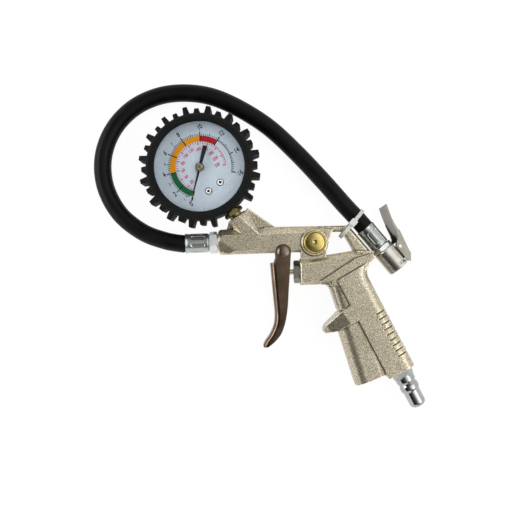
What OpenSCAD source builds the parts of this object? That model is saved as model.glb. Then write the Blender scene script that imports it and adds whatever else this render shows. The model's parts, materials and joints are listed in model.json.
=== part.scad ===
// Tyre inflator with a dial gauge: a die-cast pistol body with a trigger valve, a bleed
// button, a Bourdon gauge in a toothed rubber boot, and a hose that loops round the gauge
// to a clip-on chuck strapped to the body's hanging loop.
// It lies on its side. The dial looks up (+Z), the barrel runs along +X, and the origin
// is the centre of the boot's back, which lies on the bench with the side of the grip.

/* [Gauge] */
// Diameter of the window over the dial
window_d = 64; // [60:0.5:67]
// How far the front ring of the boot reaches past the window
boot_rim = 5.85; // [4.6:0.05:7]
// Thickness of the boot's back
boot_floor = 2; // [1.5:0.1:3]
// Thickness of the boot's lip over the lens
lip_t = 2.6; // [2:0.1:3.5]
// Number of places for teeth round the boot, long and short in turn
tooth_places = 32; // [28:4:36]
// Places left without a tooth at the stem, on each side of it
bare_places = 1; // [1:1:2]
// How far a long tooth stands out of the boot
long_tooth = 5.7; // [4:0.1:7]
// How far a short tooth stands out of the boot
short_tooth = 3.5; // [2:0.1:5]
// Width of a tooth at its tip
tooth_tip_w = 3.1; // [2:0.1:4]
// Width of a tooth at its root
tooth_root_w = 4.4; // [3.5:0.1:5.5]
// Thickness of the lens
lens_t = 2; // [1.5:0.1:3]
// Wall of the gauge case
case_wall = 0.9; // [0.7:0.1:1.5]
// Depth of the dial's face below the lens
dial_recess = 5.2; // [4.5:0.1:7]
// Thickness of the dial
dial_t = 0.7; // [0.5:0.1:1]
// Room between the movement's front plate and the dial
dial_gap = 1.3; // [1:0.1:2]
// Length of the pointer from its axis to its tip
pointer_len = 25.5; // [20:0.5:28]
// Length of the pointer's tail
pointer_tail = 15.8; // [10:0.2:18]

/* [Gauge works] */
// Mean radius of the Bourdon tube
bourdon_r = 24; // [22.5:0.5:27]
// Width of the Bourdon tube's flat oval
bourdon_w = 8; // [6:0.5:10]
// Thickness of the Bourdon tube's flat oval
bourdon_t = 3; // [2:0.2:4]
// Module of the sector and pinion
gear_module = 0.35; // [0.33:0.01:0.36]
// Teeth on the pinion
pinion_teeth = 10; // [10:1:12]
// Turns of the pinion for one turn of the sector
gear_ratio = 7; // [7:1:7]
// Turns in the hairspring
hair_turns = 4; // [3:1:5]

/* [Gauge stem] */
// Direction of the stem from the dial's axis, from +X
stem_angle = -55.2; // [-58:0.2:-52]
// Hexagon on the stem, across its flats
stem_hex = 12.7; // [11.5:0.1:13.5]
// Length of the hexagon along the stem
stem_hex_len = 3.3; // [2.6:0.1:5]
// Thread that shows between the hexagon and the boss
stem_shown = 1.7; // [1:0.1:3]
// Outside diameter of the stem's thread
stem_thread_d = 9.7; // [9:0.1:10.5]
// Length of the stem's thread
stem_thread_len = 11; // [8:0.5:12]
// Diameter of the boss that the stem screws into
boss_d = 15.4; // [14.6:0.2:17]

/* [Barrel] */
// Front face of the barrel, from the dial's axis
barrel_front = 11; // [8:0.5:14]
// Centre line of the barrel, below the dial's axis
barrel_y = -54; // [-56:0.5:-53]
// Height of the barrel
barrel_h = 18.3; // [17.5:0.1:20]
// Thickness of the barrel
barrel_t = 17; // [16:0.5:19]
// Width of the bevel along the barrel's top
top_bevel = 4.4; // [3:0.2:5]
// Width of the bevel along the barrel's bottom
bottom_bevel = 2.5; // [1.5:0.1:3.5]
// Depth of the facet that thins the barrel's front at its lower corner
front_facet = 4; // [2:0.5:5]
// Diameter of the air passage in the barrel
passage_d = 5; // [4:0.5:6]

/* [Hanging loop] */
// Depth of the rail over the loop, in plan
rail_w = 4.4; // [3.6:0.2:5]
// Thickness of the rail and of the strut behind the loop
loop_t = 10; // [8:0.5:12]

/* [Valve housing] */
// Front face of the valve housing, from the dial's axis
housing_front = 69.1; // [68:0.1:72]
// Centre line of the valve, below the dial's axis
valve_y = -77.3; // [-78:0.1:-77]
// Height of the valve housing at its front
housing_h = 18.4; // [17.6:0.1:19.4]
// Height of the housing above the valve's centre line
housing_over = 8.9; // [8.5:0.1:9.3]
// Thickness of the valve housing
housing_t = 20; // [19:0.5:21]
// Thickness of the shoulder between the housing and the grip
shoulder_t = 23; // [21.5:0.5:25]
// Corner radius of the shoulder's front edge
shoulder_r = 6.6; // [5:0.1:8]

/* [Grip] */
// Thickness of the grip, which lies on the bench
grip_t = 27; // [25:0.5:30]
// Length of the grip's heel along its back
heel_len = 69.5; // [66:0.5:76]
// Width of the heel from its back to the groove in the grip's side
heel_w = 21.2; // [20.5:0.1:23]
// Angle of the grip's back from +X
heel_angle = -64.3; // [-66:0.1:-63]
// Corner radius of the heel's back
heel_r = 7; // [6:0.5:10]
// Radius of the hollow for the thumb's root, over the heel
thumb_r = 11.1; // [9:0.1:13]
// Thickness of the grip's nose, in front of the heel
nose_t = 22; // [20:0.5:24]
// Corner radius of the nose's front
nose_r = 8.5; // [6:0.5:9.5]
// Length of the nose along its front edge, below the guard
nose_len = 46.5; // [44:0.5:50]
// Number of ribs across the grip's back
rib_count = 8; // [5:1:9]
// Spacing of the ribs
rib_pitch = 4.2; // [3.6:0.1:4.6]
// Height of a rib above the grooves beside it
rib_h = 0.9; // [0.4:0.1:1.2]
// Width of a groove between two ribs
groove_w = 1; // [0.7:0.1:1.5]
// How far the grooves reach round the grip from its back
groove_reach = 8.5; // [7:0.5:10]

/* [Trigger] */
// Thickness of the trigger's sheet
trigger_sheet = 1.5; // [1.2:0.1:1.8]
// Room between the trigger's cheeks and the barrel, on each side
trigger_gap = 0.5; // [0.3:0.1:1]
// Radius of the trigger's ears round the pivot
ear_r = 5.6; // [5:0.1:6.2]
// Radius of the bend along the trigger's front
trigger_bend = 4.2; // [3:0.2:5]
// Diameter of the rivet that the trigger turns on
pivot_d = 5; // [4:0.2:6]
// Diameter of the rivet's heads
rivet_head_d = 9; // [8:0.2:10]

/* [Main valve] */
// Diameter of the valve's bore
valve_bore_d = 12.2; // [11.5:0.1:12.6]
// Depth of the valve's bore
valve_bore_len = 42; // [41:0.5:44]
// Diameter of the push rod
rod_d = 4; // [3.4:0.1:4.4]
// Packing nut, across its flats
packing_hex = 14.4; // [13.5:0.1:15]
// Length of the packing nut's hexagon
packing_hex_len = 4.4; // [3.5:0.1:4.8]
// Length of the packing nut's thread
packing_thread_len = 6; // [5:0.5:7]
// Length of the seat sleeve
sleeve_len = 17; // [15.5:0.5:18]
// Travel of the push rod from the trigger's rest to its stop
valve_travel = 3.1; // [2.5:0.1:3.4]

/* [Bleed valve] */
// Diameter of the boss round the bleed button
bleed_boss_d = 18.9; // [18.3:0.1:20]
// Height of the boss above the middle plane
bleed_boss_h = 12.5; // [11.5:0.5:14]
// Diameter of the bleed button
button_d = 15.8; // [15:0.1:16.4]
// Height of the button above its boss at rest
button_proud = 3; // [2.6:0.1:4]
// Travel of the bleed button
button_travel = 2.5; // [2:0.1:2.6]

/* [Hose] */
// Outside diameter of the hose
hose_d = 12.8; // [11.5:0.1:13.2]
// Bore of the hose
hose_bore_d = 6; // [5:0.5:7]
// Length of a ferrule
ferrule_len = 17; // [15:0.5:18]
// Wall of a ferrule
ferrule_wall = 0.5; // [0.4:0.1:0.9]
// Number of crimps round a ferrule
crimps = 8; // [6:1:10]
// Width of a crimp
crimp_w = 3; // [2:0.1:3.6]
// Nut at the barrel's front, across its flats
nut_hex = 14.3; // [13:0.1:15]
// Length of the nut
nut_len = 5.9; // [5:0.1:7]

/* [Chuck] */
// Diameter of the chuck's body
chuck_d = 15.8; // [15:0.2:17]
// Length of the chuck's body
chuck_len = 17.6; // [17.2:0.1:19]
// Length of the hexagon behind it, and its width across the flats
chuck_nut_len = 3.6; // [3:0.1:4.4]
chuck_hex = 13.8; // [13:0.1:14.4]
// Diameter of the socket that goes over a tyre valve
socket_d = 8.2; // [8:0.1:8.6]
// Depth of the socket down to its washer
socket_len = 9.5; // [9:0.5:10]
// Distance of the lever's pin from the chuck's axis
lever_pin_off = 8.8; // [8.6:0.1:9.6]
// Diameter of the lever's pin
lever_pin_d = 2.4; // [2:0.1:2.8]
// Thickness of the lever's sheet
lever_sheet = 1; // [0.8:0.1:1.2]
// Width of the lug between the lever's ears
lug_w = 10; // [8:0.5:10.5]
// Roll of the chuck about its axis, which lowers the lever's side
chuck_roll = 18; // [8:1:18]

/* [Inlet plug] */
// Hexagon of the plug, across its flats
plug_hex = 13.4; // [12.5:0.1:14]
// Diameter of the plug's nose, which goes into the coupler
plug_nose_d = 12; // [11:0.1:12.6]
// Diameter of the plug's shoulder, next to its hexagon
plug_shoulder_d = 14.2; // [13.4:0.1:15]
// Diameter of the plug's locking collar
plug_collar_d = 14; // [13.4:0.1:15]
// Diameter of the waist between the shoulder and the collar
plug_waist_d = 12.3; // [11:0.1:13]
// Length of the plug outside the grip
plug_len = 29.2; // [28:0.1:31]
// Diameter of the plug's thread
plug_thread_d = 12.9; // [12:0.1:13.2]

/* [Cable tie] */
// Width of the strap
strap_w = 2.6; // [2.2:0.1:3]
// Thickness of the strap
strap_t = 1.1; // [0.8:0.1:1.4]

/* [Clearances] */
// Radial clearance of a running fit
run_gap = 0.05; // [0.03:0.01:0.08]
// Radial clearance where a thread or a sleeve sits in its bore
thread_gap = 0.08; // [0.05:0.01:0.15]

/* [Hidden] */
$fn = 64;

// --- Levels and places that follow from the sizes above ---
mid_z = grip_t / 2;                       // middle plane of the body, hose ends and chuck
tiny = 0.01;
boot_r = window_d / 2 + boot_rim;
case_r = window_d / 2 + 2.4;              // outside of the case
block_h = 9;                              // the stem's block inside the case
plate_t = 1.2;                            // the movement's plates
front_plate_z = mid_z + block_h / 2;      // the front plate lies on the block
back_plate_z = mid_z - block_h / 2 + 0.5;
dial_z = front_plate_z + plate_t + dial_gap + dial_t;  // face of the dial
lens_z = dial_z + dial_recess;            // the lens rests on the case's rim here
lens_top = lens_z + lens_t;
boot_depth = lens_top + lip_t;
hex_start = boot_r + 0.4;                 // the stem's hexagon, along the stem
hex_end = hex_start + stem_hex_len;
boss_top = hex_end + stem_shown;          // face of the boss that the stem screws into
stem_dir = [cos(stem_angle), sin(stem_angle)];
stem_side = [-sin(stem_angle), cos(stem_angle)];
stem_foot = barrel_y / sin(stem_angle);   // where the stem's line meets the barrel's
barrel_top = barrel_y + barrel_h / 2;
barrel_bottom = barrel_y - barrel_h / 2;
bleed_at = [79.9, -56.4];                 // axis of the bleed button
pivot_at = [57.4, -62.5];                 // axis of the trigger
loop_corner = [105.4, -45.1];             // outer corner of the rail and the strut
heel_top = [118.5, -83.8];                // where the straight part of the grip's back starts
guard_tip = [84.3, -119.7];
heel_dir = [cos(heel_angle), sin(heel_angle)];
heel_side = [-sin(heel_angle), cos(heel_angle)];
plug_at = heel_top + heel_len * heel_dir - (heel_w / 2 - 0.8) * heel_side;
nose_angle = -74.3;
nose_top = [93.94, -116];                 // a point on the front edge of the nose
chuck_angle = -51.7;
chuck_dir = [cos(chuck_angle), sin(chuck_angle)];
chuck_mouth = [141.5, -77.2];             // centre of the chuck's open end
socket_r = socket_d / 2;

// --- Small helpers ---
function polar(r, a) = [r * cos(a), r * sin(a)];
function unit(v) = v / norm(v);
function from_to(a, b) = atan2(b[1] - a[1], b[0] - a[0]);
function arc(c, r, a0, a1, n) = [for (i = [0:n]) c + polar(r, a0 + (a1 - a0) * i / n)];

// Puts its children on the middle plane at p, with their X along the angle a
module on_plane(p, a = 0) {
    translate([p[0], p[1], mid_z]) rotate([0, 0, a]) children();
}

// A plate of the given outline, t thick, centred on the middle plane
module slab(outline, t) {
    translate([0, 0, mid_z - t / 2]) linear_extrude(t) polygon(outline);
}

// A bar along +X from x0 to x1, with the section [across, depth] given by its children
module along_x(x0, x1) {
    translate([x0, 0, 0]) rotate([90, 0, 90]) linear_extrude(x1 - x0) children();
}

// A turned piece along +X; the profile is a list of [distance along X, radius]
module turned(profile) {
    rotate([0, 90, 0]) rotate_extrude() polygon([for (q = profile) [q[1], q[0]]]);
}

module rod_x(x0, x1, d) {
    translate([x0, 0, 0]) rotate([0, 90, 0]) cylinder(d = d, h = x1 - x0);
}

// A hexagon along +X with one flat facing up
module hex_x(x0, x1, flats) {
    translate([x0, 0, 0]) rotate([0, 90, 0]) rotate([0, 0, 30])
        cylinder(d = flats / cos(30), h = x1 - x0, $fn = 6);
}

// A nut's hexagon with its corners turned off at both ends
module nut_x(x0, x1, flats) {
    corner = flats / cos(30) / 2;
    intersection() {
        hex_x(x0, x1, flats);
        turned([[x0, 0], [x0, flats / 2], [x0 + 0.6, corner], [x1 - 0.6, corner],
                [x1, flats / 2], [x1, 0]]);
    }
}

// The bevel along the edge a-b of a slab t thick, on both faces, as the piece to cut away
module bevel(a, b, t, across, depth) {
    rhomb = [[across, 0], [0, depth], [-across, 0], [0, -depth]];
    for (side = [-1, 1])
        on_plane(a, from_to(a, b))
            translate([0, 0, side * t / 2]) along_x(-across, norm(b - a) + across) polygon(rhomb);
}

// --- Tubes along a path: rings square to the path, joined by triangles ---
coil_steps = 10;                          // rings in a turn of a coil
function tangent(path, i) =
    unit(path[min(i + 1, len(path) - 1)] - path[max(i - 1, 0)]);
function ring(path, i, r, sides) =
    let (t = tangent(path, i), across = unit(cross([0, 0, 1], t)), up = cross(t, across))
    [for (k = [0:sides - 1])
        let (a = 360 * (k + 0.5) / sides) path[i] + r * (cos(a) * across + sin(a) * up)];
function wall_faces(rings, sides) = [
    for (i = [0:rings - 2], k = [0:sides - 1])
        let (a = i * sides + k, b = i * sides + (k + 1) % sides)
        each [[a, b + sides, b], [a, a + sides, b + sides]],
];
function skin_faces(rings, sides) = [
    each wall_faces(rings, sides),
    for (k = [1:sides - 2]) [0, k, k + 1],
    for (k = [1:sides - 2]) (rings - 1) * sides * [1, 1, 1] + [0, k + 1, k],
];
module tube(path, r, sides) {
    polyhedron([for (i = [0:len(path) - 1]) each ring(path, i, r, sides)],
               skin_faces(len(path), sides), convexity = 8);
}
// A coil about +Z from 0 to height; flat is the part of a turn that lies flat at each end
function coil(r, turns, height, wire, flat) =
    [for (i = [0:turns * coil_steps])
        let (turn = i / coil_steps,
             rise = min(max((turn - flat) / (turns - 2 * flat), 0), 1))
        [r * cos(360 * turn), r * sin(360 * turn), wire / 2 + (height - wire) * rise]];
// Least gap between neighbouring turns of a coil
function coil_gap(path, wire) =
    min([for (i = [0:len(path) - 1 - coil_steps]) norm(path[i + coil_steps] - path[i])]) - wire;
function spline(p, i, t) =
    let (a = p[max(i - 1, 0)], b = p[i], c = p[i + 1], d = p[min(i + 2, len(p) - 1)])
    (2 * b + (c - a) * t + (2 * a - 5 * b + 4 * c - d) * t * t
     + (3 * b - a - 3 * c + d) * t * t * t) / 2;
function smooth(p, steps) = [
    for (i = [0:len(p) - 2], s = [0:steps - 1]) spline(p, i, s / steps),
    p[len(p) - 1],
];

// --- Body casting ---
bar_section = [
    [-barrel_h / 2, barrel_t / 2 - bottom_bevel], [-barrel_h / 2 + bottom_bevel, barrel_t / 2],
    [barrel_h / 2 - top_bevel, barrel_t / 2], [barrel_h / 2, barrel_t / 2 - top_bevel],
    [barrel_h / 2, top_bevel - barrel_t / 2], [barrel_h / 2 - top_bevel, -barrel_t / 2],
    [bottom_bevel - barrel_h / 2, -barrel_t / 2], [-barrel_h / 2, bottom_bevel - barrel_t / 2],
];

// The barrel: a bevelled bar whose corners are turned off towards its round front, with
// a sloping facet on each side at the lower corner
module barrel() {
    end = bleed_at[0] + 4;
    facet_len = front_facet * 4;
    facet_drop = barrel_h / 2 + 1.5;
    out = [-front_facet / facet_len, -front_facet / facet_drop, 0.95];
    on_plane([0, barrel_y]) difference() {
        intersection() {
            along_x(barrel_front, end) polygon(bar_section);
            turned([[barrel_front, 0], [barrel_front, barrel_h / 2 - 1.4],
                    [barrel_front + 1.2, barrel_h / 2 - 0.2],
                    [barrel_front + 14, barrel_h / 2 + 4], [end, barrel_h / 2 + 4], [end, 0]]);
        }
        for (side = [0, 1]) mirror([0, 0, side]) translate([barrel_front, 1.5, barrel_t / 2])
            rotate([0, acos(out[2] / norm(out)), atan2(out[1], out[0])])
            translate([-30, -30, 0]) cube([60, 60, 10]);
    }
}

// The boss for the gauge's stem: its sides run down flush with the barrel's, with a web
// to the rail behind it and a small gusset in front
module stem_boss() {
    face = barrel_t / 2;
    r = boss_d / 2;
    on_plane([0, 0], stem_angle)
        turned([[boss_top, 0], [boss_top, r - 0.5], [boss_top + 0.5, r], [stem_foot, r],
                [stem_foot, 0]]);
    // [along the stem, aside, half thickness] at the top; [x, y, half thickness] at the foot
    head = [for (q = [[0.9, r + 1.8, 3], [1, 1.4, face], [0.3, 3 - r, face], [0.2, 0.9 - r, 3.5]])
        concat((boss_top + q[0]) * stem_dir + q[1] * stem_side, q[2])];
    foot = [[43.2, barrel_top - 4.6, 3], [41, barrel_top - top_bevel - 0.6, face],
            [29.3, barrel_top - top_bevel - 0.6, face], [23.3, barrel_top - 3.4, 3.5]];
    rows = [head, foot];
    polyhedron([for (row = rows) each concat(
                   [for (q = row) [q[0], q[1], mid_z + q[2]]],
                   [for (i = [3:-1:0]) [row[i][0], row[i][1], mid_z - row[i][2]]])],
               skin_faces(2, 8), convexity = 2);
    web_end = [51.9, barrel_top + 1.1];
    slab([(boss_top + 0.1) * stem_dir + (r + 2.4) * stem_side, web_end, web_end - [0, 6],
          (stem_foot - 4) * stem_dir, (boss_top + 3) * stem_dir], 6);
    slab([boss_top * stem_dir - (r - 0.9) * stem_side, [17.6, barrel_top + 0.5],
          [17.6, barrel_top - 1.5], [24, barrel_top - 2], (boss_top + 3) * stem_dir], 6);
}

// The rail and the strut round the hanging loop
module hanging_loop() {
    rail_start = [44, barrel_top + 0.75];
    rail_end = loop_corner;
    slope = from_to(rail_start, rail_end);
    depth = loop_t / 2;
    cut = 1.4;
    on_plane(rail_start - [0, rail_w / 2], slope)
        along_x(0, norm(rail_end - rail_start) - 1)
        polygon([[-rail_w / 2, cut - depth], [-rail_w / 2, depth - cut],
                 [cut - rail_w / 2, depth], [rail_w / 2 - cut, depth],
                 [rail_w / 2, depth - cut], [rail_w / 2, cut - depth],
                 [rail_w / 2 - cut, -depth], [cut - rail_w / 2, -depth]]);
    strut = [loop_corner, horn[1], horn[1] - [4, 6], [109.2, -65],
             loop_corner + [-5, -3.5], loop_corner + [-5, -1]];
    difference() {
        slab(strut, loop_t + 1);
        bevel(strut[0], strut[1], loop_t + 1, 1.8, 1.8);
        bevel(strut[3], strut[4], loop_t + 1, 1.2, 1.2);
    }
}

// The neck between the barrel and the housing, with the bleed button's boss on it
module neck() {
    slab([[70.4, barrel_y], [70.4, -71], [89, -71], [88.2, -66], [90.3, -57],
          [92.6, loop_corner[1] - rail_w], [94, loop_corner[1] - rail_w + 1.5],
          [84, loop_corner[1] - 1], [80, -50]], barrel_t - 1);
    translate([bleed_at[0], bleed_at[1], mid_z - barrel_t / 2])
        rotate_extrude() polygon([[0, 0], [bleed_boss_d / 2 - 1, 0], [bleed_boss_d / 2, 1],
            [bleed_boss_d / 2, barrel_t / 2 + bleed_boss_h - 0.6],
            [bleed_boss_d / 2 - 0.6, barrel_t / 2 + bleed_boss_h],
            [0, barrel_t / 2 + bleed_boss_h]]);
}

// The lug that the trigger's rivet goes through
module pivot_lug() {
    translate([pivot_at[0], pivot_at[1], mid_z - barrel_t / 2])
        cylinder(r = ear_r - 0.9, h = barrel_t);
}

horn = [[109.7, -63.3], [120.6, -63.9], [122.7, -65.9], [123, -68.7], [119.3, -72.3],
        [115.2, -79]];                    // the horn behind the thumb, front to back
housing_high = valve_y + housing_over;
housing_low = housing_high - housing_h;
grip_front = [90.27, -89.9];              // front edge of the grip, under the housing
shoulder_low = [96.4, -83.4];             // the heel's top edge runs from here to the horn
shoulder_high = [122.8, -69.3];

module valve_housing() {
    front_low = [housing_front, housing_low];
    front_high = [housing_front, housing_high];
    outline = [front_low, front_high, horn[0], horn[1], [112, -80], [96, -90],
               [87.7, housing_low]];
    difference() {
        slab(outline, housing_t);
        bevel(front_high, horn[0], housing_t, 3.6, 3.6);
        bevel(front_low, [87.7, housing_low], housing_t, 2.2, 2.6);
        bevel(front_low, front_high, housing_t, 1.2, 1.2);
    }
}

// The shoulder: the middle level that runs from the grip's front up to the horn, with a
// rounded front edge and a fillet under the housing
module shoulder() {
    front_angle = -73.2;
    across = polar(shoulder_r, front_angle + 90);
    fillet_r = 3.2;
    fillet_at = [grip_front[0] - 0.8 - fillet_r, housing_low - fillet_r];
    difference() {
        slab(concat([[82.6, housing_low], [83.3, -84.4], [108.3, -69], [113, -67.8],
                     [121, -65.9], horn[3], horn[4], horn[5], heel_top - 2.4 * heel_side,
                     [104, -104], grip_front + across + polar(16, front_angle)],
                    [grip_front + across]), shoulder_t);
        bevel([82.6, housing_low], [89, housing_low], shoulder_t, 2.4, 3.4);
    }
    slab(concat(arc(fillet_at, fillet_r, 90, 10, 6),
                [grip_front + across, [grip_front[0], housing_low + 4],
                 [fillet_at[0], housing_low + 4]]), shoulder_t - 7);
    on_plane(grip_front, front_angle) mirror([0, 1, 0])
        along_x(-2, 17) heel_section(shoulder_t, shoulder_r, shoulder_r + 4);
    difference() {
        slab(horn, housing_t - 1);
        bevel(horn[1], horn[2], housing_t - 1, 1.6, 1.6);
        bevel(horn[2], horn[3], housing_t - 1, 1.6, 1.6);
    }
}

// Section of the heel across the grip: flat in front, round at the back (across = 0)
module heel_section(t, r, front) {
    translate([-front, -t / 2]) square([front - r, t]);
    translate([-r - tiny, r - t / 2]) square([r + tiny, t - 2 * r]);
    for (side = [-1, 1]) translate([-r, side * (t / 2 - r)]) circle(r);
}

// The heel: the thick back half of the grip. Its section runs straight up the back and
// on round the hollow for the thumb, and its top is cut along the shoulder.
module heel() {
    low = heel_top + (heel_len + 5) * heel_dir;
    dip = 0.12;                           // how far the hollow dips into the straight back
    difference() {
        intersection() {
            union() {
                on_plane(heel_top, heel_angle) along_x(-12, heel_len)
                    heel_section(grip_t, heel_r, heel_w);
                on_plane(heel_top + (thumb_r - dip) * heel_side, 120)
                    rotate_extrude(angle = heel_angle + 150) translate([thumb_r, 0])
                    mirror([1, 0]) heel_section(grip_t, heel_r, heel_w);
            }
            slab([shoulder_low, shoulder_high, shoulder_high + [4, -4], low + 30 * heel_side,
                  low - 40 * heel_side, shoulder_low - [20, 20]], grip_t + 2);
        }
        // grooves round the back, with the ribs between them
        on_plane(heel_top, heel_angle) for (i = [0:rib_count])
            along_x(23.8 + i * rib_pitch, 23.8 + i * rib_pitch + groove_w) difference() {
                translate([-groove_reach, -grip_t / 2 - 1]) square([groove_reach + 1, grip_t + 2]);
                translate([-rib_h, 0])
                    heel_section(grip_t - 2 * rib_h, heel_r - rib_h, groove_reach + 1);
            }
    }
}

// The nose: the thinner front half of the grip below the guard, with a sloping foot
module nose() {
    foot = nose_top + nose_len * polar(1, nose_angle);
    intersection() {
        on_plane(nose_top, nose_angle) mirror([0, 1, 0])
            along_x(-6, nose_len + 3) heel_section(nose_t, nose_r, 19);
        slab([foot + polar(10, 200.4), foot + polar(30, 20.4), nose_top + [40, 10],
              nose_top + [-15, 10]], nose_t + 2);
    }
}

// The guard under the second finger: flush with the heel, thinning to its tip
module guard() {
    outline = concat([[105, -101.5], [96.4, -107.3], [86, -116.5]],
                     arc(guard_tip + [2.3, -0.3], 2.2, 150, 290, 6),
                     [[96.2, -120.4], [98, -118.6], [109.6, -113.2]]);
    reach = norm([100, -110] - guard_tip);
    intersection() {
        slab(outline, grip_t);
        on_plane([100, -110], from_to([100, -110], guard_tip))
            rotate([90, 0, 0]) translate([0, 0, -25]) linear_extrude(50)
            polygon([[-14, -grip_t / 2], [0, -grip_t / 2], [reach - 4, -9], [reach + 1, -5.5],
                     [reach + 1, 5.5], [reach - 4, 9], [0, grip_t / 2], [-14, grip_t / 2]]);
    }
}

valve_end = housing_front + valve_bore_len;
bleed_floor = 6.4;                        // floor of the button's recess above the middle plane
seat_z = 1.6;                             // bleed seat above the middle plane
bleed_bore_d = 8.4;

// Everything that is drilled or bored in the casting
module casting_bores() {
    // barrel: thread for the hose's nipple, then the air passage
    on_plane([0, barrel_y]) {
        rod_x(barrel_front - 1, barrel_front + 11, nipple_thread_d + 2 * thread_gap);
        rod_x(barrel_front, bleed_at[0], passage_d);
    }
    // stem: thread and passage
    on_plane([0, 0], stem_angle) {
        rod_x(boss_top - 1, boss_top + stem_thread_len + 0.6, stem_thread_d + 2 * thread_gap);
        rod_x(boss_top, stem_foot, passage_d - 1);
    }
    // valve: bore from the front, and the way up to the barrel
    on_plane([0, valve_y]) rod_x(housing_front - 1, valve_end, valve_bore_d);
    on_plane([bleed_at[0], valve_y], 90) rod_x(0, barrel_y - valve_y, passage_d);
    // bleed button: recess, stem hole, chamber from behind
    translate([bleed_at[0], bleed_at[1], mid_z]) {
        translate([0, 0, bleed_floor])
            cylinder(d = button_d + 0.4, h = bleed_boss_h);
        translate([0, 0, 0]) cylinder(d = 4.6, h = bleed_boss_h);
        translate([0, 0, -barrel_t]) cylinder(d = bleed_bore_d, h = barrel_t + seat_z);
    }
    // trigger's rivet
    translate([pivot_at[0], pivot_at[1], 0]) cylinder(d = pivot_d + 2 * run_gap, h = grip_t);
    // grip: thread for the plug, then the inlet passage up to the valve
    on_plane(plug_at, heel_angle + 180) {
        rod_x(-1, plug_thread_len + 1, plug_thread_d + 2 * thread_gap);
        rod_x(0, (valve_y - plug_at[1]) / -sin(heel_angle), 8);
    }
}

module body_casting() {
    color([0.74, 0.69, 0.58]) difference() {
        union() {
            barrel();
            stem_boss();
            hanging_loop();
            neck();
            pivot_lug();
            valve_housing();
            shoulder();
            heel();
            nose();
            guard();
        }
        casting_bores();
    }
}

// --- Main valve ---
sleeve_start = housing_front + packing_thread_len;
seat_x = sleeve_start + sleeve_len;       // the seat's face, at the sleeve's inner end
sleeve_d = valve_bore_d - 2 * thread_gap;
seal_t = 1.6;
flange_t = 1.6;

module packing_nut() {
    color([0.72, 0.74, 0.74]) on_plane([0, valve_y]) difference() {
        union() {
            nut_x(housing_front - packing_hex_len, housing_front, packing_hex);
            rod_x(housing_front - tiny, sleeve_start, sleeve_d);
        }
        rod_x(housing_front - 10, sleeve_start + 1, rod_d + 2 * run_gap);
        rod_x(sleeve_start - 2.4, sleeve_start + 1, rod_d + 3.2);
    }
}

module packing_ring() {
    color([0.08, 0.08, 0.08]) on_plane([0, valve_y]) difference() {
        rod_x(sleeve_start - 2.2, sleeve_start, rod_d + 3);
        rod_x(sleeve_start - 3, sleeve_start + 1, rod_d + 2 * run_gap);
    }
}

module seat_sleeve() {
    color([0.72, 0.57, 0.25]) difference() {
        on_plane([0, valve_y]) difference() {
            rod_x(sleeve_start, seat_x, sleeve_d);
            rod_x(sleeve_start - 1, seat_x + 1, rod_d + 2 * run_gap);
            rod_x(sleeve_start + 2.5, seat_x + 1, rod_d + 3);
        }
        on_plane([bleed_at[0], valve_y], 90) rod_x(0, 10, passage_d - 0.6);
    }
}

module valve_rod() {
    color([0.76, 0.6, 0.28]) on_plane([0, valve_y])
        turned([[rod_tip, 0], [rod_tip, rod_d / 2 - 0.6], [rod_tip + 0.6, rod_d / 2],
                [seat_x + seal_t, rod_d / 2], [seat_x + seal_t, rod_d / 2 + 2.6],
                [seat_x + seal_t + flange_t, rod_d / 2 + 2.6],
                [seat_x + seal_t + flange_t, rod_d / 2 - 0.4],
                [seat_x + seal_t + flange_t + 3, rod_d / 2 - 0.4],
                [seat_x + seal_t + flange_t + 3, 0]]);
}

module valve_seal() {
    color([0.1, 0.1, 0.1]) on_plane([0, valve_y]) difference() {
        rod_x(seat_x, seat_x + seal_t, rod_d + 5);
        rod_x(seat_x - 1, seat_x + seal_t + 1, rod_d + 0.04);
    }
}

valve_spring_at = seat_x + seal_t + flange_t;
valve_wire = 0.9;
valve_coil = coil(3.2, 6, valve_end - valve_spring_at, valve_wire, 0.5);
echo(valve_spring_gap = coil_gap(valve_coil, valve_wire));

module valve_spring() {
    color([0.7, 0.71, 0.72]) on_plane([valve_spring_at, valve_y]) rotate([0, 90, 0])
        tube(valve_coil, valve_wire / 2, 6);
}

// --- Trigger ---
cheek = barrel_t / 2 + trigger_gap + trigger_sheet;   // outside of a cheek from the middle plane
// Front edge, back edge and half width of the channel at each height
trigger_stations = [
    [47.9, 62.4, -70.2, cheek], [48.3, 61.6, -78, cheek], [49, 60.45, -90, cheek - 0.4],
    [49.6, 59.65, -99.5, cheek - 0.8], [49.95, 58.6, -107, cheek - 1.2],
    [49.2, 57, -114, cheek - 1.5], [46.2, 54.2, -121, cheek - 1.8],
    [42.4, 49.9, -126.3, cheek - 2.2], [41, 46.4, -129.2, cheek - 2.6],
    [41.2, 44.2, -130.8, cheek - 3.4],
];
rod_tip = trigger_stations[1][0] + trigger_sheet + 0.35;   // the rod's end inside the trigger
// One U-shaped section: outside from back to front to back, then inside the other way
function u_section(s) =
    let (depth = s[1] - s[0], r = min(trigger_bend, depth * 0.8), w = s[3], t = trigger_sheet,
         ri = max(r - t, 0.3), bend = 4)
    [for (q = concat(
        [[s[1], w]], arc([s[0] + r, w - r], r, 90, 180, bend),
        arc([s[0] + r, r - w], r, 180, 270, bend), [[s[1], -w]],
        [[s[1], t - w]], arc([s[0] + t + ri, ri + t - w], ri, 270, 180, bend),
        arc([s[0] + t + ri, w - ri - t], ri, 180, 90, bend), [[s[1], w - t]]))
     [q[0], s[2], mid_z + q[1]]];
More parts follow.
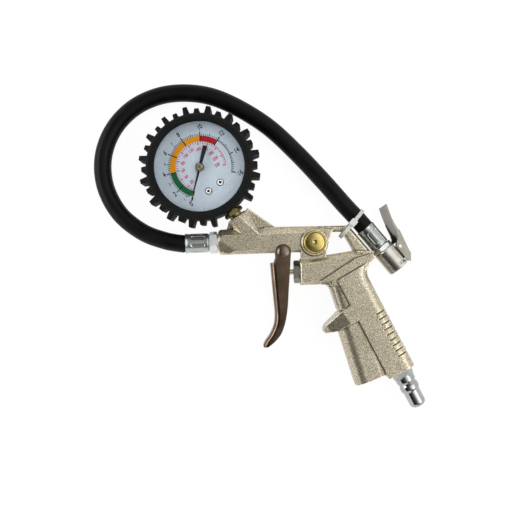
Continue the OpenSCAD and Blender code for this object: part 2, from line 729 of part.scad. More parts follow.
// End faces of a U section: a strip between its outside and its inside
function strip_faces(first, half, flip) = [
    for (k = [0:half - 2])
        let (a = first + k, b = first + k + 1, c = first + 2 * half - 2 - k,
             d = first + 2 * half - 1 - k)
        each flip ? [[a, b, c], [a, c, d]] : [[a, c, b], [a, d, c]],
];

module trigger() {
    half = len(u_section(trigger_stations[0])) / 2;
    last = len(trigger_stations) - 1;
    side_t = trigger_sheet - 0.1;
    color([0.5, 0.4, 0.33]) difference() {
        union() {
            polyhedron([for (s = trigger_stations) each u_section(s)],
                       concat(wall_faces(last + 1, 2 * half),
                              strip_faces(0, half, true),
                              strip_faces(last * 2 * half, half, false)), convexity = 6);
            for (side = [-1, 1])
                translate([0, 0, mid_z + side * (cheek - trigger_sheet / 2) - side_t / 2]) {
                    translate(pivot_at) cylinder(r = ear_r, h = side_t);
                    linear_extrude(side_t) polygon([
                        pivot_at + [-ear_r + 0.05, 0], pivot_at + [-ear_r + 0.3, -5],
                        [49.8, -71.5], [53.4, -74], [61.6, -76], [62.2, -70],
                        pivot_at + [ear_r - 0.05, 0]]);
                }
        }
        translate([pivot_at[0], pivot_at[1], -10])
            cylinder(d = pivot_d + 2 * run_gap, h = grip_t + 20);
    }
}

module trigger_rivet() {
    grip = cheek + 0.02;                  // the heads just clear the cheeks
    dome_h = 2;
    color([0.55, 0.45, 0.38]) translate([pivot_at[0], pivot_at[1], mid_z]) {
        translate([0, 0, -grip - 0.5]) cylinder(d = pivot_d, h = 2 * grip + 1);
        for (side = [0, 1]) mirror([0, 0, side]) translate([0, 0, grip])
            rotate_extrude() polygon([[0, 0], [rivet_head_d / 2, 0], [rivet_head_d / 2, 0.4],
                [rivet_head_d / 2 * 0.9, 1.1], [rivet_head_d / 2 * 0.66, 1.7],
                [rivet_head_d / 2 * 0.3, dome_h], [0, dome_h + 0.02]]);
    }
}

// --- Bleed valve ---
button_base = bleed_floor + button_travel + 0.4;
button_top = bleed_boss_h + button_proud;
poppet_t = 1.4;
bleed_plug_t = 2.4;

module bleed_button() {
    r = button_d / 2;
    color([0.78, 0.6, 0.22]) translate([bleed_at[0], bleed_at[1], mid_z])
        // a thin rim round a slightly domed disc, with a dimple in its centre
        rotate_extrude() polygon([[1.5, button_base], [r, button_base], [r, button_top - 0.6],
            [r - 0.4, button_top - 0.2], [r - 0.8, button_top - 0.2], [r - 1, button_top - 1.1],
            [r - 1.3, button_top - 0.7], [r / 2, button_top - 0.15], [1.7, button_top],
            [1.2, button_top - 0.6], [0, button_top - 1], [0, button_top - 3],
            [1.5, button_top - 3]]);
}

module bleed_stem() {
    color([0.74, 0.57, 0.24]) translate([bleed_at[0], bleed_at[1], mid_z]) {
        translate([0, 0, -poppet_t]) cylinder(d = 7.4, h = poppet_t);
        translate([0, 0, -tiny]) cylinder(r = 1.46, h = button_top - 3);
    }
}

module bleed_seal() {
    color([0.1, 0.1, 0.1]) translate([bleed_at[0], bleed_at[1], mid_z]) difference() {
        cylinder(d = 7.2, h = seat_z);
        translate([0, 0, -1]) cylinder(r = 1.48, h = seat_z + 2);
    }
}

bleed_spring_z = bleed_plug_t - barrel_t / 2;
bleed_wire = 0.6;
bleed_coil = coil(2.6, 3, -poppet_t - bleed_spring_z, bleed_wire, 0.4);
echo(bleed_spring_gap = coil_gap(bleed_coil, bleed_wire));

module bleed_spring() {
    color([0.7, 0.71, 0.72]) translate([bleed_at[0], bleed_at[1], mid_z + bleed_spring_z])
        tube(bleed_coil, bleed_wire / 2, 6);
}

module bleed_plug() {
    color([0.74, 0.57, 0.24])
        translate([bleed_at[0], bleed_at[1], mid_z - barrel_t / 2]) difference() {
            cylinder(d = bleed_bore_d - 2 * thread_gap, h = bleed_plug_t);
            translate([-5, -0.6, -1]) cube([10, 1.2, 1.9]);
        }
}

// --- Inlet plug ---
plug_thread_len = 10;
plug_turn = 0;                            // how far the plug's hexagon is screwed round
washer_t = 1;

module inlet_plug() {
    end = 5.8;                            // outer end of the hexagon
    nose = plug_nose_d / 2;
    color([0.8, 0.81, 0.83]) on_plane(plug_at, heel_angle) difference() {
        union() {
            rod_x(-plug_thread_len, washer_t + 1, plug_thread_d);
            rotate([plug_turn, 0, 0]) nut_x(washer_t, end, plug_hex);
            turned([[end - 1, 0], [end - 1, plug_shoulder_d / 2],
                    [end + 3, plug_shoulder_d / 2], [end + 5.1, plug_waist_d / 2],
                    [end + 6.9, plug_collar_d / 2],
                    [end + 9.3, plug_collar_d / 2], [end + 11.2, nose + 0.2],
                    [end + 11.7, nose], [plug_len - 2.6, nose], [plug_len - 1.2, nose - 0.5],
                    [plug_len, nose - 1.8], [plug_len, 0]]);
        }
        rod_x(-plug_thread_len - 1, plug_len + 1, 5.4);
        turned([[plug_len - 1.2, 0], [plug_len - 1.2, 2.7], [plug_len + 0.1, 3.9],
                [plug_len + 0.1, 0]]);
    }
}

module inlet_washer() {
    color([0.15, 0.15, 0.16]) on_plane(plug_at, heel_angle) difference() {
        rod_x(0, washer_t, plug_hex);
        rod_x(-1, washer_t + 1, plug_thread_d + 0.1);
    }
}

// --- Gauge ---
block_w = 14;
block_start = 13.6;
block_end = case_r - case_wall - 2;
stem_bore = 3.4;
screw_at = [17.2, 5.2];                   // dial screws, either side of the stem's line

module gauge_stem() {
    color([0.7, 0.56, 0.26]) difference() {
        on_plane([0, 0], stem_angle) {
            translate([block_start, -block_w / 2, -block_h / 2])
                cube([block_end - block_start, block_w, block_h]);
            rod_x(block_end - 1, boss_top + stem_thread_len, stem_thread_d);
            nut_x(hex_start, hex_end, stem_hex);
        }
        on_plane([0, 0], stem_angle) rod_x(bourdon_r, boss_top + stem_thread_len + 1, stem_bore);
        bourdon_ring(0.05);
    }
}

module gauge_case() {
    color([0.12, 0.12, 0.13]) difference() {
        rotate_extrude() polygon([[0, boot_floor], [case_r - 1, boot_floor],
            [case_r, boot_floor + 1], [case_r, lens_z], [case_r - case_wall, lens_z],
            [case_r - case_wall, boot_floor + case_wall + 0.8],
            [case_r - case_wall - 0.8, boot_floor + case_wall], [0, boot_floor + case_wall]]);
        on_plane([0, 0], stem_angle) rod_x(case_r - 4, case_r + 2, stem_thread_d + 0.2);
    }
}

function has_tooth(i) = min(i, tooth_places - i) > bare_places;
function tooth_r(i) = boot_r + (i % 2 == 0 ? long_tooth : short_tooth);
// The star of teeth in plan, starting at the stem
function star() = [
    for (i = [0:tooth_places - 1])
        let (a = stem_angle + i * 360 / tooth_places, root = boot_r - 1,
             tip = has_tooth(i) ? tooth_r(i) : root,
             half_root = asin(tooth_root_w / 2 / root), half_tip = asin(tooth_tip_w / 2 / tip))
        each [polar(root, a - half_root), polar(tip, a - half_tip),
              polar(tip, a + half_tip), polar(root, a + half_root)],
];

module gauge_boot() {
    reach = boot_r + long_tooth;
    color([0.09, 0.09, 0.1]) difference() {
        union() {
            rotate_extrude() polygon([[0, 0], [boot_r - 1.2, 0], [boot_r, 1.2],
                [boot_r, boot_depth - 1.8], [boot_r - 1.8, boot_depth],
                [window_d / 2 + 1.4, boot_depth], [window_d / 2, boot_depth - 1.2],
                [window_d / 2, lens_top], [case_r + 0.1, lens_top],
                [case_r + 0.1, boot_floor], [0, boot_floor]]);
            intersection() {
                linear_extrude(boot_depth) difference() {
                    polygon(star());
                    circle(r = boot_r - 2);
                }
                rotate_extrude() polygon([[boot_r - 3, 1.5], [boot_r, 1.5], [reach + 1, 5],
                    [reach + 1, boot_depth - 5.5], [boot_r, boot_depth - 2],
                    [boot_r - 3, boot_depth - 2]]);
            }
        }
        on_plane([0, 0], stem_angle) rod_x(case_r - 2, boot_r + 6, stem_thread_d + 0.3);
    }
}

module gauge_lens() {
    color([0.8, 0.86, 0.9, 0.35]) translate([0, 0, lens_z]) cylinder(r = case_r - 0.1, h = lens_t);
}

module gauge_dial() {
    color([0.8, 0.85, 0.88]) difference() {
        translate([0, 0, dial_z - dial_t])
            cylinder(r = case_r - case_wall - 0.3, h = dial_t);
        cylinder(r = 1.4, h = dial_z + 1);
        on_plane([0, 0], stem_angle) for (side = [-1, 1])
            translate([screw_at[0], side * screw_at[1], 0]) cylinder(r = 1.15, h = dial_z);
    }
}

module dial_screws() {
    color([0.6, 0.6, 0.55]) on_plane([0, 0], stem_angle) for (side = [-1, 1])
        translate([screw_at[0], side * screw_at[1], 0]) difference() {
            union() {
                translate([0, 0, dial_z - mid_z]) cylinder(r1 = 2.3, r2 = 1.9, h = 0.9);
                translate([0, 0, dial_z - mid_z - 2.4]) cylinder(r = 1.05, h = 2.4 + tiny);
            }
            translate([-3, -0.25, dial_z - mid_z + 0.5]) cube([6, 0.5, 1]);
        }
}

pointer_z = dial_z + 1.8;
pointer_t = 0.6;
pointer_rest = 254;                       // direction of the pointer at rest, from +X
collet_z = front_plate_z - 2.1;
pinion_z = mid_z - 0.9;

module gauge_pointer() {
    color([0.06, 0.06, 0.07]) translate([0, 0, pointer_z]) rotate([0, 0, pointer_rest])
        difference() {
            union() {
                linear_extrude(pointer_t) polygon([
                    [-pointer_tail, -1.65], [0, -0.95], [pointer_len * 0.6, -0.5],
                    [pointer_len, -0.2], [pointer_len, 0.2], [pointer_len * 0.6, 0.5],
                    [0, 0.95], [-pointer_tail, 1.65]]);
                cylinder(r = 3.2, h = pointer_t + 0.2);
            }
            translate([0, 0, -1]) cylinder(r = 0.8, h = 4);
        }
}

// Centre lines of the gears
pinion_r = gear_module * pinion_teeth / 2;
sector_r = pinion_r * gear_ratio;
gear_centres = pinion_r + sector_r;
sector_pivot = -gear_centres * stem_side; // beside the stem's line
// One tooth: a trapezoid on the pitch circle r of a gear, at the angle a
module tooth(r, a, half, depth_out, depth_in) {
    rotate([0, 0, a]) polygon([[r - depth_in, -half * 1.45], [r, -half], [r + depth_out, -half * 0.45],
                               [r + depth_out, half * 0.45], [r, half], [r - depth_in, half * 1.45]]);
}

module pointer_arbor() {
    // a gap of the pinion faces the sector's tooth at rest
    first = atan2(sector_pivot[1], sector_pivot[0]) + 180 / pinion_teeth;
    color([0.72, 0.6, 0.3]) {
        translate([0, 0, back_plate_z - 0.8])
            cylinder(r = 0.75, h = pointer_z + pointer_t + 0.6 - back_plate_z + 0.8);
        translate([0, 0, pinion_z]) linear_extrude(2.4) {
            circle(r = pinion_r - 1.25 * gear_module);
            for (i = [0:pinion_teeth - 1])
                tooth(pinion_r, first + i * 360 / pinion_teeth, gear_module * 0.62,
                      gear_module * 0.9, gear_module * 1.4);
        }
        translate([0, 0, collet_z]) cylinder(r = 1.6, h = 1.1);
        translate([0, 0, pointer_z + pointer_t + 0.2]) cylinder(r = 2.3, h = 0.9);
    }
}

sector_span = 265 / gear_ratio;           // turn of the sector over the whole scale
sector_tooth_angle = 360 / (pinion_teeth * gear_ratio);
tail_r = 5;
tail_angle = stem_angle + 144;            // the tail's direction from the sector's pivot
tail_at = sector_pivot + polar(tail_r, tail_angle);
bourdon_from = 12;
bourdon_sweep = 246;
tube_tip = polar(bourdon_r - bourdon_t / 2 - 2.2, stem_angle + bourdon_from + bourdon_sweep - 4);

module sector_gear() {
    toward = atan2(-sector_pivot[1], -sector_pivot[0]);    // from the pivot to the pinion
    teeth = ceil(sector_span / sector_tooth_angle) + 2;
    color([0.76, 0.62, 0.32]) translate([sector_pivot[0], sector_pivot[1], 0]) {
        translate([0, 0, mid_z - 0.5]) linear_extrude(1.4) difference() {
            union() {
                circle(r = 2.2);
                intersection() {
                    difference() {
                        circle(r = sector_r - 1.2 * gear_module);
                        circle(r = sector_r - 2.6);
                    }
                    sector_wedge(toward + 6, -(sector_span + 12));
                }
                for (spoke = [3, -sector_span / 2, -sector_span - 3])
                    rotate([0, 0, toward + spoke]) translate([0, -0.8])
                        square([sector_r - 1.6, 1.6]);
                for (i = [-1:teeth - 2])
                    tooth(sector_r, toward - i * sector_tooth_angle, gear_module * 0.62,
                          gear_module * 0.75, gear_module * 1.4);
                rotate([0, 0, tail_angle]) translate([0, -1]) square([tail_r, 2]);
                translate(polar(tail_r, tail_angle)) circle(r = 1.3);
            }
        }
        translate([0, 0, back_plate_z - 0.8])
            cylinder(r = 0.75, h = front_plate_z + plate_t - back_plate_z + 1);
        translate(polar(tail_r, tail_angle)) translate([0, 0, mid_z]) cylinder(r = 0.5, h = 2);
    }
}
// A wedge in plan between two angles, for cutting a ring into a sector
module sector_wedge(a, sweep) {
    polygon(concat([[0, 0]], arc([0, 0], sector_r * 1.4, a, a + sweep, 4)));
}

module gauge_link() {
    d = tube_tip - tail_at;
    color([0.7, 0.7, 0.68]) translate([tail_at[0], tail_at[1], mid_z + 1.1])
        rotate([0, 0, atan2(d[1], d[0])]) linear_extrude(0.7) difference() {
            union() {
                translate([0, -0.9]) square([norm(d), 1.8]);
                circle(r = 1.2);
                translate([norm(d), 0]) circle(r = 1.2);
            }
            circle(r = 0.5 + run_gap);
            translate([norm(d), 0]) circle(r = 0.5 + run_gap);
        }
}

// The flat oval tube, bent to a C about the dial's axis
module bourdon_ring(grow) {
    r = bourdon_t / 2 + grow;
    flat = bourdon_w / 2 - bourdon_t / 2;
    translate([0, 0, mid_z]) rotate([0, 0, stem_angle + bourdon_from])
        rotate_extrude(angle = bourdon_sweep) {
            translate([bourdon_r - r, -flat]) square([2 * r, 2 * flat]);
            for (side = [-1, 1]) translate([bourdon_r, side * flat]) circle(r);
        }
}

module bourdon_tube() {
    end = stem_angle + bourdon_from + bourdon_sweep;
    color([0.72, 0.52, 0.3]) {
        bourdon_ring(0);
        // end cap with the lug that the link hangs on
        translate([0, 0, mid_z - 3]) linear_extrude(3.6)
            polygon([polar(bourdon_r + 1.2, end - 1), polar(bourdon_r - 1.2, end - 1),
                     polar(bourdon_r - 1.2, end + 3), polar(bourdon_r + 1.2, end + 3)]);
        translate([0, 0, mid_z - 1]) linear_extrude(1.6)
            polygon([polar(bourdon_r - 0.5, end - 7), tube_tip + polar(1.3, end - 90),
                     tube_tip + polar(1.3, end + 180), tube_tip + polar(1.3, end + 90),
                     polar(bourdon_r - 0.5, end + 1)]);
        translate([tube_tip[0], tube_tip[1], mid_z]) cylinder(r = 0.5, h = 2);
    }
}

plate_x = [-9.3, 20.6];
plate_y = [-gear_centres - 3.4, 9];
pillars = [[-7.6, 7.4], [11.8, 7.4], [-7.6, 3.8 - gear_centres], [11.8, -gear_centres - 1.8]];
hair_r = 6.6;

module movement_plates() {
    color([0.74, 0.6, 0.3]) on_plane([0, 0], stem_angle) difference() {
        union() {
            for (plate = [[back_plate_z, block_start - 0.2], [front_plate_z, plate_x[1]]])
                translate([plate_x[0], plate_y[0], plate[0] - mid_z])
                    cube([plate[1] - plate_x[0], plate_y[1] - plate_y[0], plate_t]);
            for (p = pillars)
                translate([p[0], p[1], back_plate_z - mid_z + tiny])
                    cylinder(r = 1.3, h = front_plate_z - back_plate_z);
            for (side = [-1, 1])
                translate([screw_at[0], side * screw_at[1], front_plate_z - mid_z + tiny])
                    cylinder(r = 2, h = dial_z - dial_t - front_plate_z - tiny);
            // stud that holds the hairspring's outer end
            translate([0, hair_r + 0.2, collet_z - mid_z - 0.3]) cylinder(r = 0.7, h = 3);
        }
        for (p = [[0, 0], [0, -gear_centres]])
            translate([p[0], p[1], -mid_z]) cylinder(r = 0.75 + run_gap, h = 2 * mid_z);
        for (side = [-1, 1])
            translate([screw_at[0], side * screw_at[1], front_plate_z - mid_z - 1])
                cylinder(r = 1.12, h = 12);
    }
}

// A flat spiral from the collet out to the stud
module hairspring() {
    steps = hair_turns * 24;
    function radius(i) = 1.95 + (hair_r - 0.85 - 1.95) * i / steps;
    function turn(i) = stem_angle + 90 + 360 * hair_turns * i / steps;
    color([0.6, 0.62, 0.66]) translate([0, 0, collet_z + 0.1]) linear_extrude(0.9)
        polygon(concat([for (i = [0:steps]) polar(radius(i) + 0.11, turn(i))],
                       [for (i = [steps:-1:0]) polar(radius(i) - 0.11, turn(i))]));
}

// --- Hose and its fittings ---
nipple_thread_d = 9.6;
nut_end = barrel_front - 0.75;            // the nut's collar fills the rest
nut_start = nut_end - nut_len;
nut_turn = 13;                            // how far the nut is screwed round
barb_len = ferrule_len - 2;
hose_r = hose_d / 2;

// Barbed tail for the hose, from x = 0 back to -barb_len
module barb() {
    r = hose_bore_d / 2;
    turned(concat([[1, 0], [-barb_len, 0], [-barb_len, r - 0.3]],
                  [for (i = [0:2]) each [[-barb_len + 3.4 + i * 3.2, r + 0.25],
                                         [-barb_len + 3.6 + i * 3.2, r - 0.1]]],
                  [[1, r - 0.1]]));
}

// A sleeve over the hose's end, pressed down in long ovals all round
module ferrule() {
    r = hose_r + ferrule_wall + 0.05;
    depth = ferrule_wall / 2;
    difference() {
        turned([[0, 0], [0, r - 0.8], [-0.8, r], [1.6 - ferrule_len, r],
                [-ferrule_len, r + 0.45], [-ferrule_len, 0]]);
        rod_x(-ferrule_len - 1, -ferrule_wall - 0.2, hose_d + 0.1);
        rod_x(-ferrule_len, 1, hose_bore_d + 0.2);
        for (i = [0:crimps - 1]) rotate([i * 360 / crimps + 12, 0, 0])
            translate([0, 0, r - depth]) linear_extrude(2) {
                translate([2.6 + crimp_w / 2 - ferrule_len, -crimp_w / 2])
                    square([ferrule_len - crimp_w - 4, crimp_w]);
                for (x = [2.6 + crimp_w / 2 - ferrule_len, -1.4 - crimp_w / 2])
                    translate([x, 0]) circle(d = crimp_w);
            }
    }
}

module hose_nipple() {
    color([0.75, 0.77, 0.78]) on_plane([0, barrel_y]) difference() {
        union() {
            translate([nut_start, 0, 0]) barb();
            rotate([-nut_turn, 0, 0]) nut_x(nut_start + 0.4, nut_end, nut_hex);
            rod_x(nut_end - 1, barrel_front, nut_hex - 1.4);
            rod_x(nut_start, nut_start + 1, nut_hex - 3);
            rod_x(barrel_front - 1, barrel_front + 10, nipple_thread_d);
        }
        rod_x(nut_start - barb_len - 1, barrel_front + 11, 3.6);
    }
}

module front_ferrule() {
    color([0.78, 0.8, 0.82]) on_plane([nut_start, barrel_y]) ferrule();
}

chuck_back = chuck_mouth - (chuck_len + chuck_nut_len) * chuck_dir;   // the nipple's shoulder
chuck_ferrule_at = chuck_back - ferrule_len * chuck_dir;

// The hose's own points, in plan and height: out of the front ferrule, down onto the
// bench, round the gauge, and up again to the chuck
hose_start = [nut_start - ferrule_wall - 0.2, barrel_y, mid_z];
hose_route = [
    hose_start, [-12.4, -54, mid_z], [-15.2, -54, mid_z], [-27.6, -51.4, 12.4], [-44.1, -44.6, 9.4],
    [-60.1, -31.4, 7.2],
    [-69.8, -14, hose_r], [-72.6, 3.4, hose_r], [-69.6, 20.2, hose_r], [-60.8, 35.8, hose_r],
    [-46.5, 48.3, hose_r], [-28.3, 55.5, hose_r], [-8.9, 56.8, hose_r], [10.3, 53.2, hose_r],
    [30.5, 43.4, hose_r], [51, 29, 6.8], [70, 9.9, 8.3], [88.5, -11.6, 10.9],
    [102.5, -29, 13], [111.8, -39.8, mid_z],
    for (run = [-2.5, 3, ferrule_len - ferrule_wall - 0.2])
        concat(chuck_ferrule_at + run * chuck_dir, mid_z),
];

module air_hose() {
    color([0.05, 0.05, 0.055]) tube(smooth(hose_route, 2), hose_r, 12);
}

// --- Chuck ---

module chuck_ferrule() {
    color([0.78, 0.8, 0.82]) on_plane(chuck_back, chuck_angle) ferrule();
}

washer_z = 2.6;                           // thickness of the rubber washer
pin_disc_t = 1.2;
seat_d = socket_d + 0.8;                  // seat of the washer and the pin's disc
chuck_thread_d = seat_d + 0.2;            // the bore that they go in through

module chuck_nipple() {
    color([0.75, 0.77, 0.78]) on_plane(chuck_mouth, chuck_angle)
        translate([-chuck_len - chuck_nut_len, 0, 0]) difference() {
            union() {
                barb();
                rotate([-7, 0, 0]) nut_x(0.3, chuck_nut_len, chuck_hex);
                rod_x(0, 1, 11);
                rod_x(chuck_nut_len - 1, chuck_nut_len + chuck_thread_len - 0.3,
                      chuck_thread_d - 2 * thread_gap);
            }
            rod_x(-barb_len - 1, chuck_len, 3.6);
        }
}
chuck_thread_len = chuck_len - socket_len - washer_z - pin_disc_t - 0.8;

// The chuck as it lies: X runs out of its mouth, Y to the side of the lever
module in_chuck() {
    on_plane(chuck_mouth, chuck_angle) rotate([-chuck_roll, 0, 0]) children();
}

// Lever outline beside the chuck, as [along the chuck's axis, away from it]
lever_pin_at = [-12.1, lever_pin_off];
lug = [[-16.6, 4], [-15.6, lever_pin_off + 1.6], [-13.2, lever_pin_off + 2.3],
       [-9.6, lever_pin_off + 2.3], [-6, lever_pin_off - 1.2], [-4.6, 7], [-4.6, 4]];
slot = [-4.1, -1.9];                      // the claw's slot, along the axis
claw_t = 1;
lever_coil_r = lever_pin_d / 2 + 0.7;
lever_wire = 0.6;

module chuck_body() {
    r = chuck_d / 2;
    color([0.68, 0.68, 0.67]) in_chuck() difference() {
        union() {
            turned([[0, 0], [0, r - 0.6], [-0.6, r], [-chuck_len + 0.9, r],
                    [-chuck_len, r - 0.7], [-chuck_len, 0]]);
            translate([0, 0, -lug_w / 2]) linear_extrude(lug_w) polygon(lug);
        }
        rod_x(-socket_len, 1, socket_d);
        turned([[-0.8, 0], [-0.8, socket_r], [0.1, socket_r + 0.9], [0.1, 0]]);
        rod_x(-socket_len - washer_z - pin_disc_t, -socket_len, seat_d);
        rod_x(-chuck_len - 1, -chuck_len + chuck_thread_len + tiny, chuck_thread_d);
        // slot for the claw, and the slit that the lever's spring sits in
        translate([slot[0], 3.7, -r]) cube([slot[1] - slot[0], r, 2 * r]);
        for (side = [0, 1]) mirror([0, 0, side])
            translate([slot[0], -0.9, socket_r + 0.6]) cube([slot[1] - slot[0], 7, r]);
        translate([-17, lever_pin_off - lever_coil_r - lever_wire, -2.4]) cube([11, 8, 4.8]);
        translate([lever_pin_at[0], lever_pin_at[1], -lug_w])
            cylinder(d = lever_pin_d + 0.04, h = 2 * lug_w);
    }
}

module chuck_washer() {
    color([0.07, 0.07, 0.07]) on_plane(chuck_mouth, chuck_angle) difference() {
        rod_x(-socket_len - washer_z, -socket_len, seat_d - 0.1);
        rod_x(-socket_len - washer_z - 1, 0, 4.4);
    }
}

module core_pin() {
    color([0.74, 0.57, 0.24]) on_plane(chuck_mouth, chuck_angle) {
        difference() {
            rod_x(-socket_len - washer_z - pin_disc_t, -socket_len - washer_z, seat_d - 0.1);
            for (a = [0:120:240]) rotate([a, 0, 0]) translate([0, 0, 2])
                rod_x(-socket_len - washer_z - 3, -socket_len, 1.2);
        }
        rod_x(-socket_len - washer_z - tiny, -socket_len + 0.1, 1.8);
    }
}

ear_outline = [[-21.3, 17.3], [-14.7, 15.3], [-9.2, 13.6], [-3.2, 12.1], [1, 8.2], [-0.4, 6.4],
               [-13.8, 6.7], [-16.9, 11.2], [-19.9, 15.2]];
thumb_line = [[-41.4, 22.8], [-38.5, 21.5], [-34.5, 19.8], [-30.7, 18.4], [-27, 17.5],
              [-22.7, 16.7], [-19, 16.2]];   // outer face of the handle, from its end

module chuck_lever() {
    inner = lug_w / 2 + 0.3;
    outer = inner + lever_sheet;
    t = lever_sheet;
    color([0.6, 0.57, 0.5]) in_chuck() difference() {
        union() {
            // ears, with flanges that taper off along the handle
            for (side = [0, 1]) mirror([0, 0, side]) translate([0, 0, inner]) linear_extrude(t) {
                polygon(ear_outline);
                polygon(concat([for (i = [2:6]) thumb_line[i]],
                               [[-18.6, 12.8], [-20.8, 14.1], [-24.3, 15.1], [-28.6, 16.3]]));
            }
            // the back of the channel, over the ears and along the handle
            translate([0, 0, -outer]) linear_extrude(2 * outer) {
                polygon(concat([for (i = [0:3]) ear_outline[i]],
                               [for (i = [3:-1:0]) ear_outline[i] - [0.4, t]]));
                polygon(concat(thumb_line, [for (i = [6:-1:0]) thumb_line[i] - [0.3, t]]));
            }
            // the claw: a plate across the slot, just clear of the valve's thread
            translate([slot[0] + 0.1, socket_r + 0.1, -outer + 0.05])
                cube([claw_t, 8.6 - socket_r, 2 * outer - 0.1]);
        }
        translate([lever_pin_at[0], lever_pin_at[1], -20])
            cylinder(d = lever_pin_d + 2 * run_gap, h = 40);
    }
}

module lever_pin() {
    half = lug_w / 2 + 0.3 + lever_sheet + 0.5;
    color([0.7, 0.7, 0.68]) in_chuck()
        translate([lever_pin_at[0], lever_pin_at[1], -half])
            cylinder(d = lever_pin_d, h = 2 * half);
}

lever_coil = coil(lever_coil_r, 3, 3.9, lever_wire, 0);
echo(lever_spring_gap = coil_gap(lever_coil, lever_wire));

module lever_spring() {
    leg = [for (y = [-lever_coil_r - lever_wire / 2, -1.2]) [lever_coil_r, y, lever_wire / 2]];
    color([0.62, 0.62, 0.6]) in_chuck() translate([lever_pin_at[0], lever_pin_at[1], -1.95])
        tube(concat(leg, lever_coil), lever_wire / 2, 6);
}

// --- Cable tie round the hose and the frame's corner ---
tie_at = [111.6, -39.8];                    // where the strap's plane crosses the hose
tie_angle = -132;
tie_reach = 11;                           // from the hose's axis to the frame's corner
frame_r = loop_t / 2 + 1.6;

// A loop round two circles, ra at the origin and rb at [d, 0]
function belt(d, ra, rb) =
    let (a = acos((ra - rb) / d))
    concat(arc([0, 0], ra, a, 360 - a, 16), arc([d, 0], rb, -a, a, 12));

module cable_tie() {
    inner = hose_r + 0.35;
    color([0.88, 0.89, 0.87]) on_plane(tie_at, tie_angle) {
        rotate([90, 0, 0]) linear_extrude(strap_w, center = true) difference() {
            polygon(belt(tie_reach, inner + strap_t, frame_r + strap_t));
            polygon(belt(tie_reach, inner, frame_r));
        }
        // head, and the cut end of the strap that comes out of it
        translate([2.2, -strap_w / 2 - 1, inner + 0.1]) cube([5, strap_w + 2, 3]);
        translate([0.2, -strap_w / 2 + 0.1, inner + 1.2]) cube([3, strap_w - 0.2, 1.2]);
    }
}

body_casting();
packing_nut();
packing_ring();
seat_sleeve();
valve_rod();
valve_seal();
valve_spring();
trigger();
trigger_rivet();
bleed_button();
bleed_stem();
bleed_seal();
bleed_spring();
bleed_plug();
inlet_plug();
inlet_washer();
gauge_stem();
gauge_case();
gauge_boot();
gauge_lens();
gauge_dial();
dial_screws();
gauge_pointer();
pointer_arbor();
sector_gear();
gauge_link();
bourdon_tube();
movement_plates();
hairspring();
hose_nipple();
front_ferrule();
air_hose();
chuck_ferrule();
chuck_nipple();
chuck_body();
chuck_washer();
core_pin();
chuck_lever();
lever_pin();
lever_spring();
cable_tie();
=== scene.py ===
"""Looks of the tyre inflator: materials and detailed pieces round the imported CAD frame."""
import json
import math
import bpy
import bmesh
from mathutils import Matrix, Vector


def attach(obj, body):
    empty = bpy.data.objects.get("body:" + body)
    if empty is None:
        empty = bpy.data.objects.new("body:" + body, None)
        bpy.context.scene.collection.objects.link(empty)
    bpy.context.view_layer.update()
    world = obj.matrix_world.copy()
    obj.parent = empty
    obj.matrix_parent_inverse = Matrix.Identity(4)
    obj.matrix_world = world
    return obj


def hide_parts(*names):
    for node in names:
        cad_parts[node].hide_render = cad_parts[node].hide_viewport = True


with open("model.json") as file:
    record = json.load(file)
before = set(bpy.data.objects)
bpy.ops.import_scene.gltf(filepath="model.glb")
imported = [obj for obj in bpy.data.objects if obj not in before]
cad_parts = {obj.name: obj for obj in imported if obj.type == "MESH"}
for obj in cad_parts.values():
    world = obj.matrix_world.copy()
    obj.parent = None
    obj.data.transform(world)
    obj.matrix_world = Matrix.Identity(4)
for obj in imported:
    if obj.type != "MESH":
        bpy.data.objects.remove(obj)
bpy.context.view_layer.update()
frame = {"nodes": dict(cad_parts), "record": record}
NODE = frame["nodes"]
MM = 0.001
MID = 13.5                      # middle plane of the body, mm
SCENE = bpy.context.scene
SCENE.view_settings.view_transform = "Standard"


def rad(a):
    return math.radians(a)


def polar(r, a):
    return (r * math.cos(rad(a)), r * math.sin(rad(a)))


# ---------------------------------------------------------------- camera
CAMERA_AT = (37.9, -64.8, MID + 550)        # mm, looking straight down at the middle plane
CAMERA_ANGLE, CAMERA_ROLL = 37.38, -2       # degrees


def make_camera():
    data = bpy.data.cameras.new("camera")
    data.sensor_width = 36
    data.angle = rad(CAMERA_ANGLE)
    data.clip_start = 0.01
    cam = bpy.data.objects.new("camera", data)
    cam.location = [c * MM for c in CAMERA_AT]
    cam.rotation_euler = (0, 0, rad(CAMERA_ROLL))
    SCENE.collection.objects.link(cam)
    SCENE.camera = cam


make_camera()


# ---------------------------------------------------------------- node materials
def new_tree(name):
    m = bpy.data.materials.new(name)
    m.use_nodes = True
    nt = m.node_tree
    return m, nt, nt.nodes["Principled BSDF"]


def add(nt, kind, **values):
    """A node of that kind; keys are socket names with _ for a space, or node properties."""
    n = nt.nodes.new("ShaderNode" + kind)
    for key, value in values.items():
        socket = key.replace("_", " ")
        if socket in n.inputs:
            n.inputs[socket].default_value = value
        else:
            setattr(n, key, value)
    return n


def coords(nt, stretch=(1, 1, 1)):
    t = nt.nodes.new("ShaderNodeTexCoord")
    m = add(nt, "Mapping")
    m.inputs["Scale"].default_value = stretch
    if stretch == (1, 1, 1):    # off the faces' planes, so that noise is the same on all of them
        m.inputs["Rotation"].default_value = (0.62, 0.41, 0.3)
    nt.links.new(t.outputs["Object"], m.inputs["Vector"])
    return m.outputs["Vector"]


def noise(nt, scale, detail=3.0, rough=0.55, stretch=(1, 1, 1)):
    n = add(nt, "TexNoise", Scale=scale, Detail=detail, Roughness=rough)
    nt.links.new(coords(nt, stretch), n.inputs["Vector"])
    return n.outputs["Fac"]


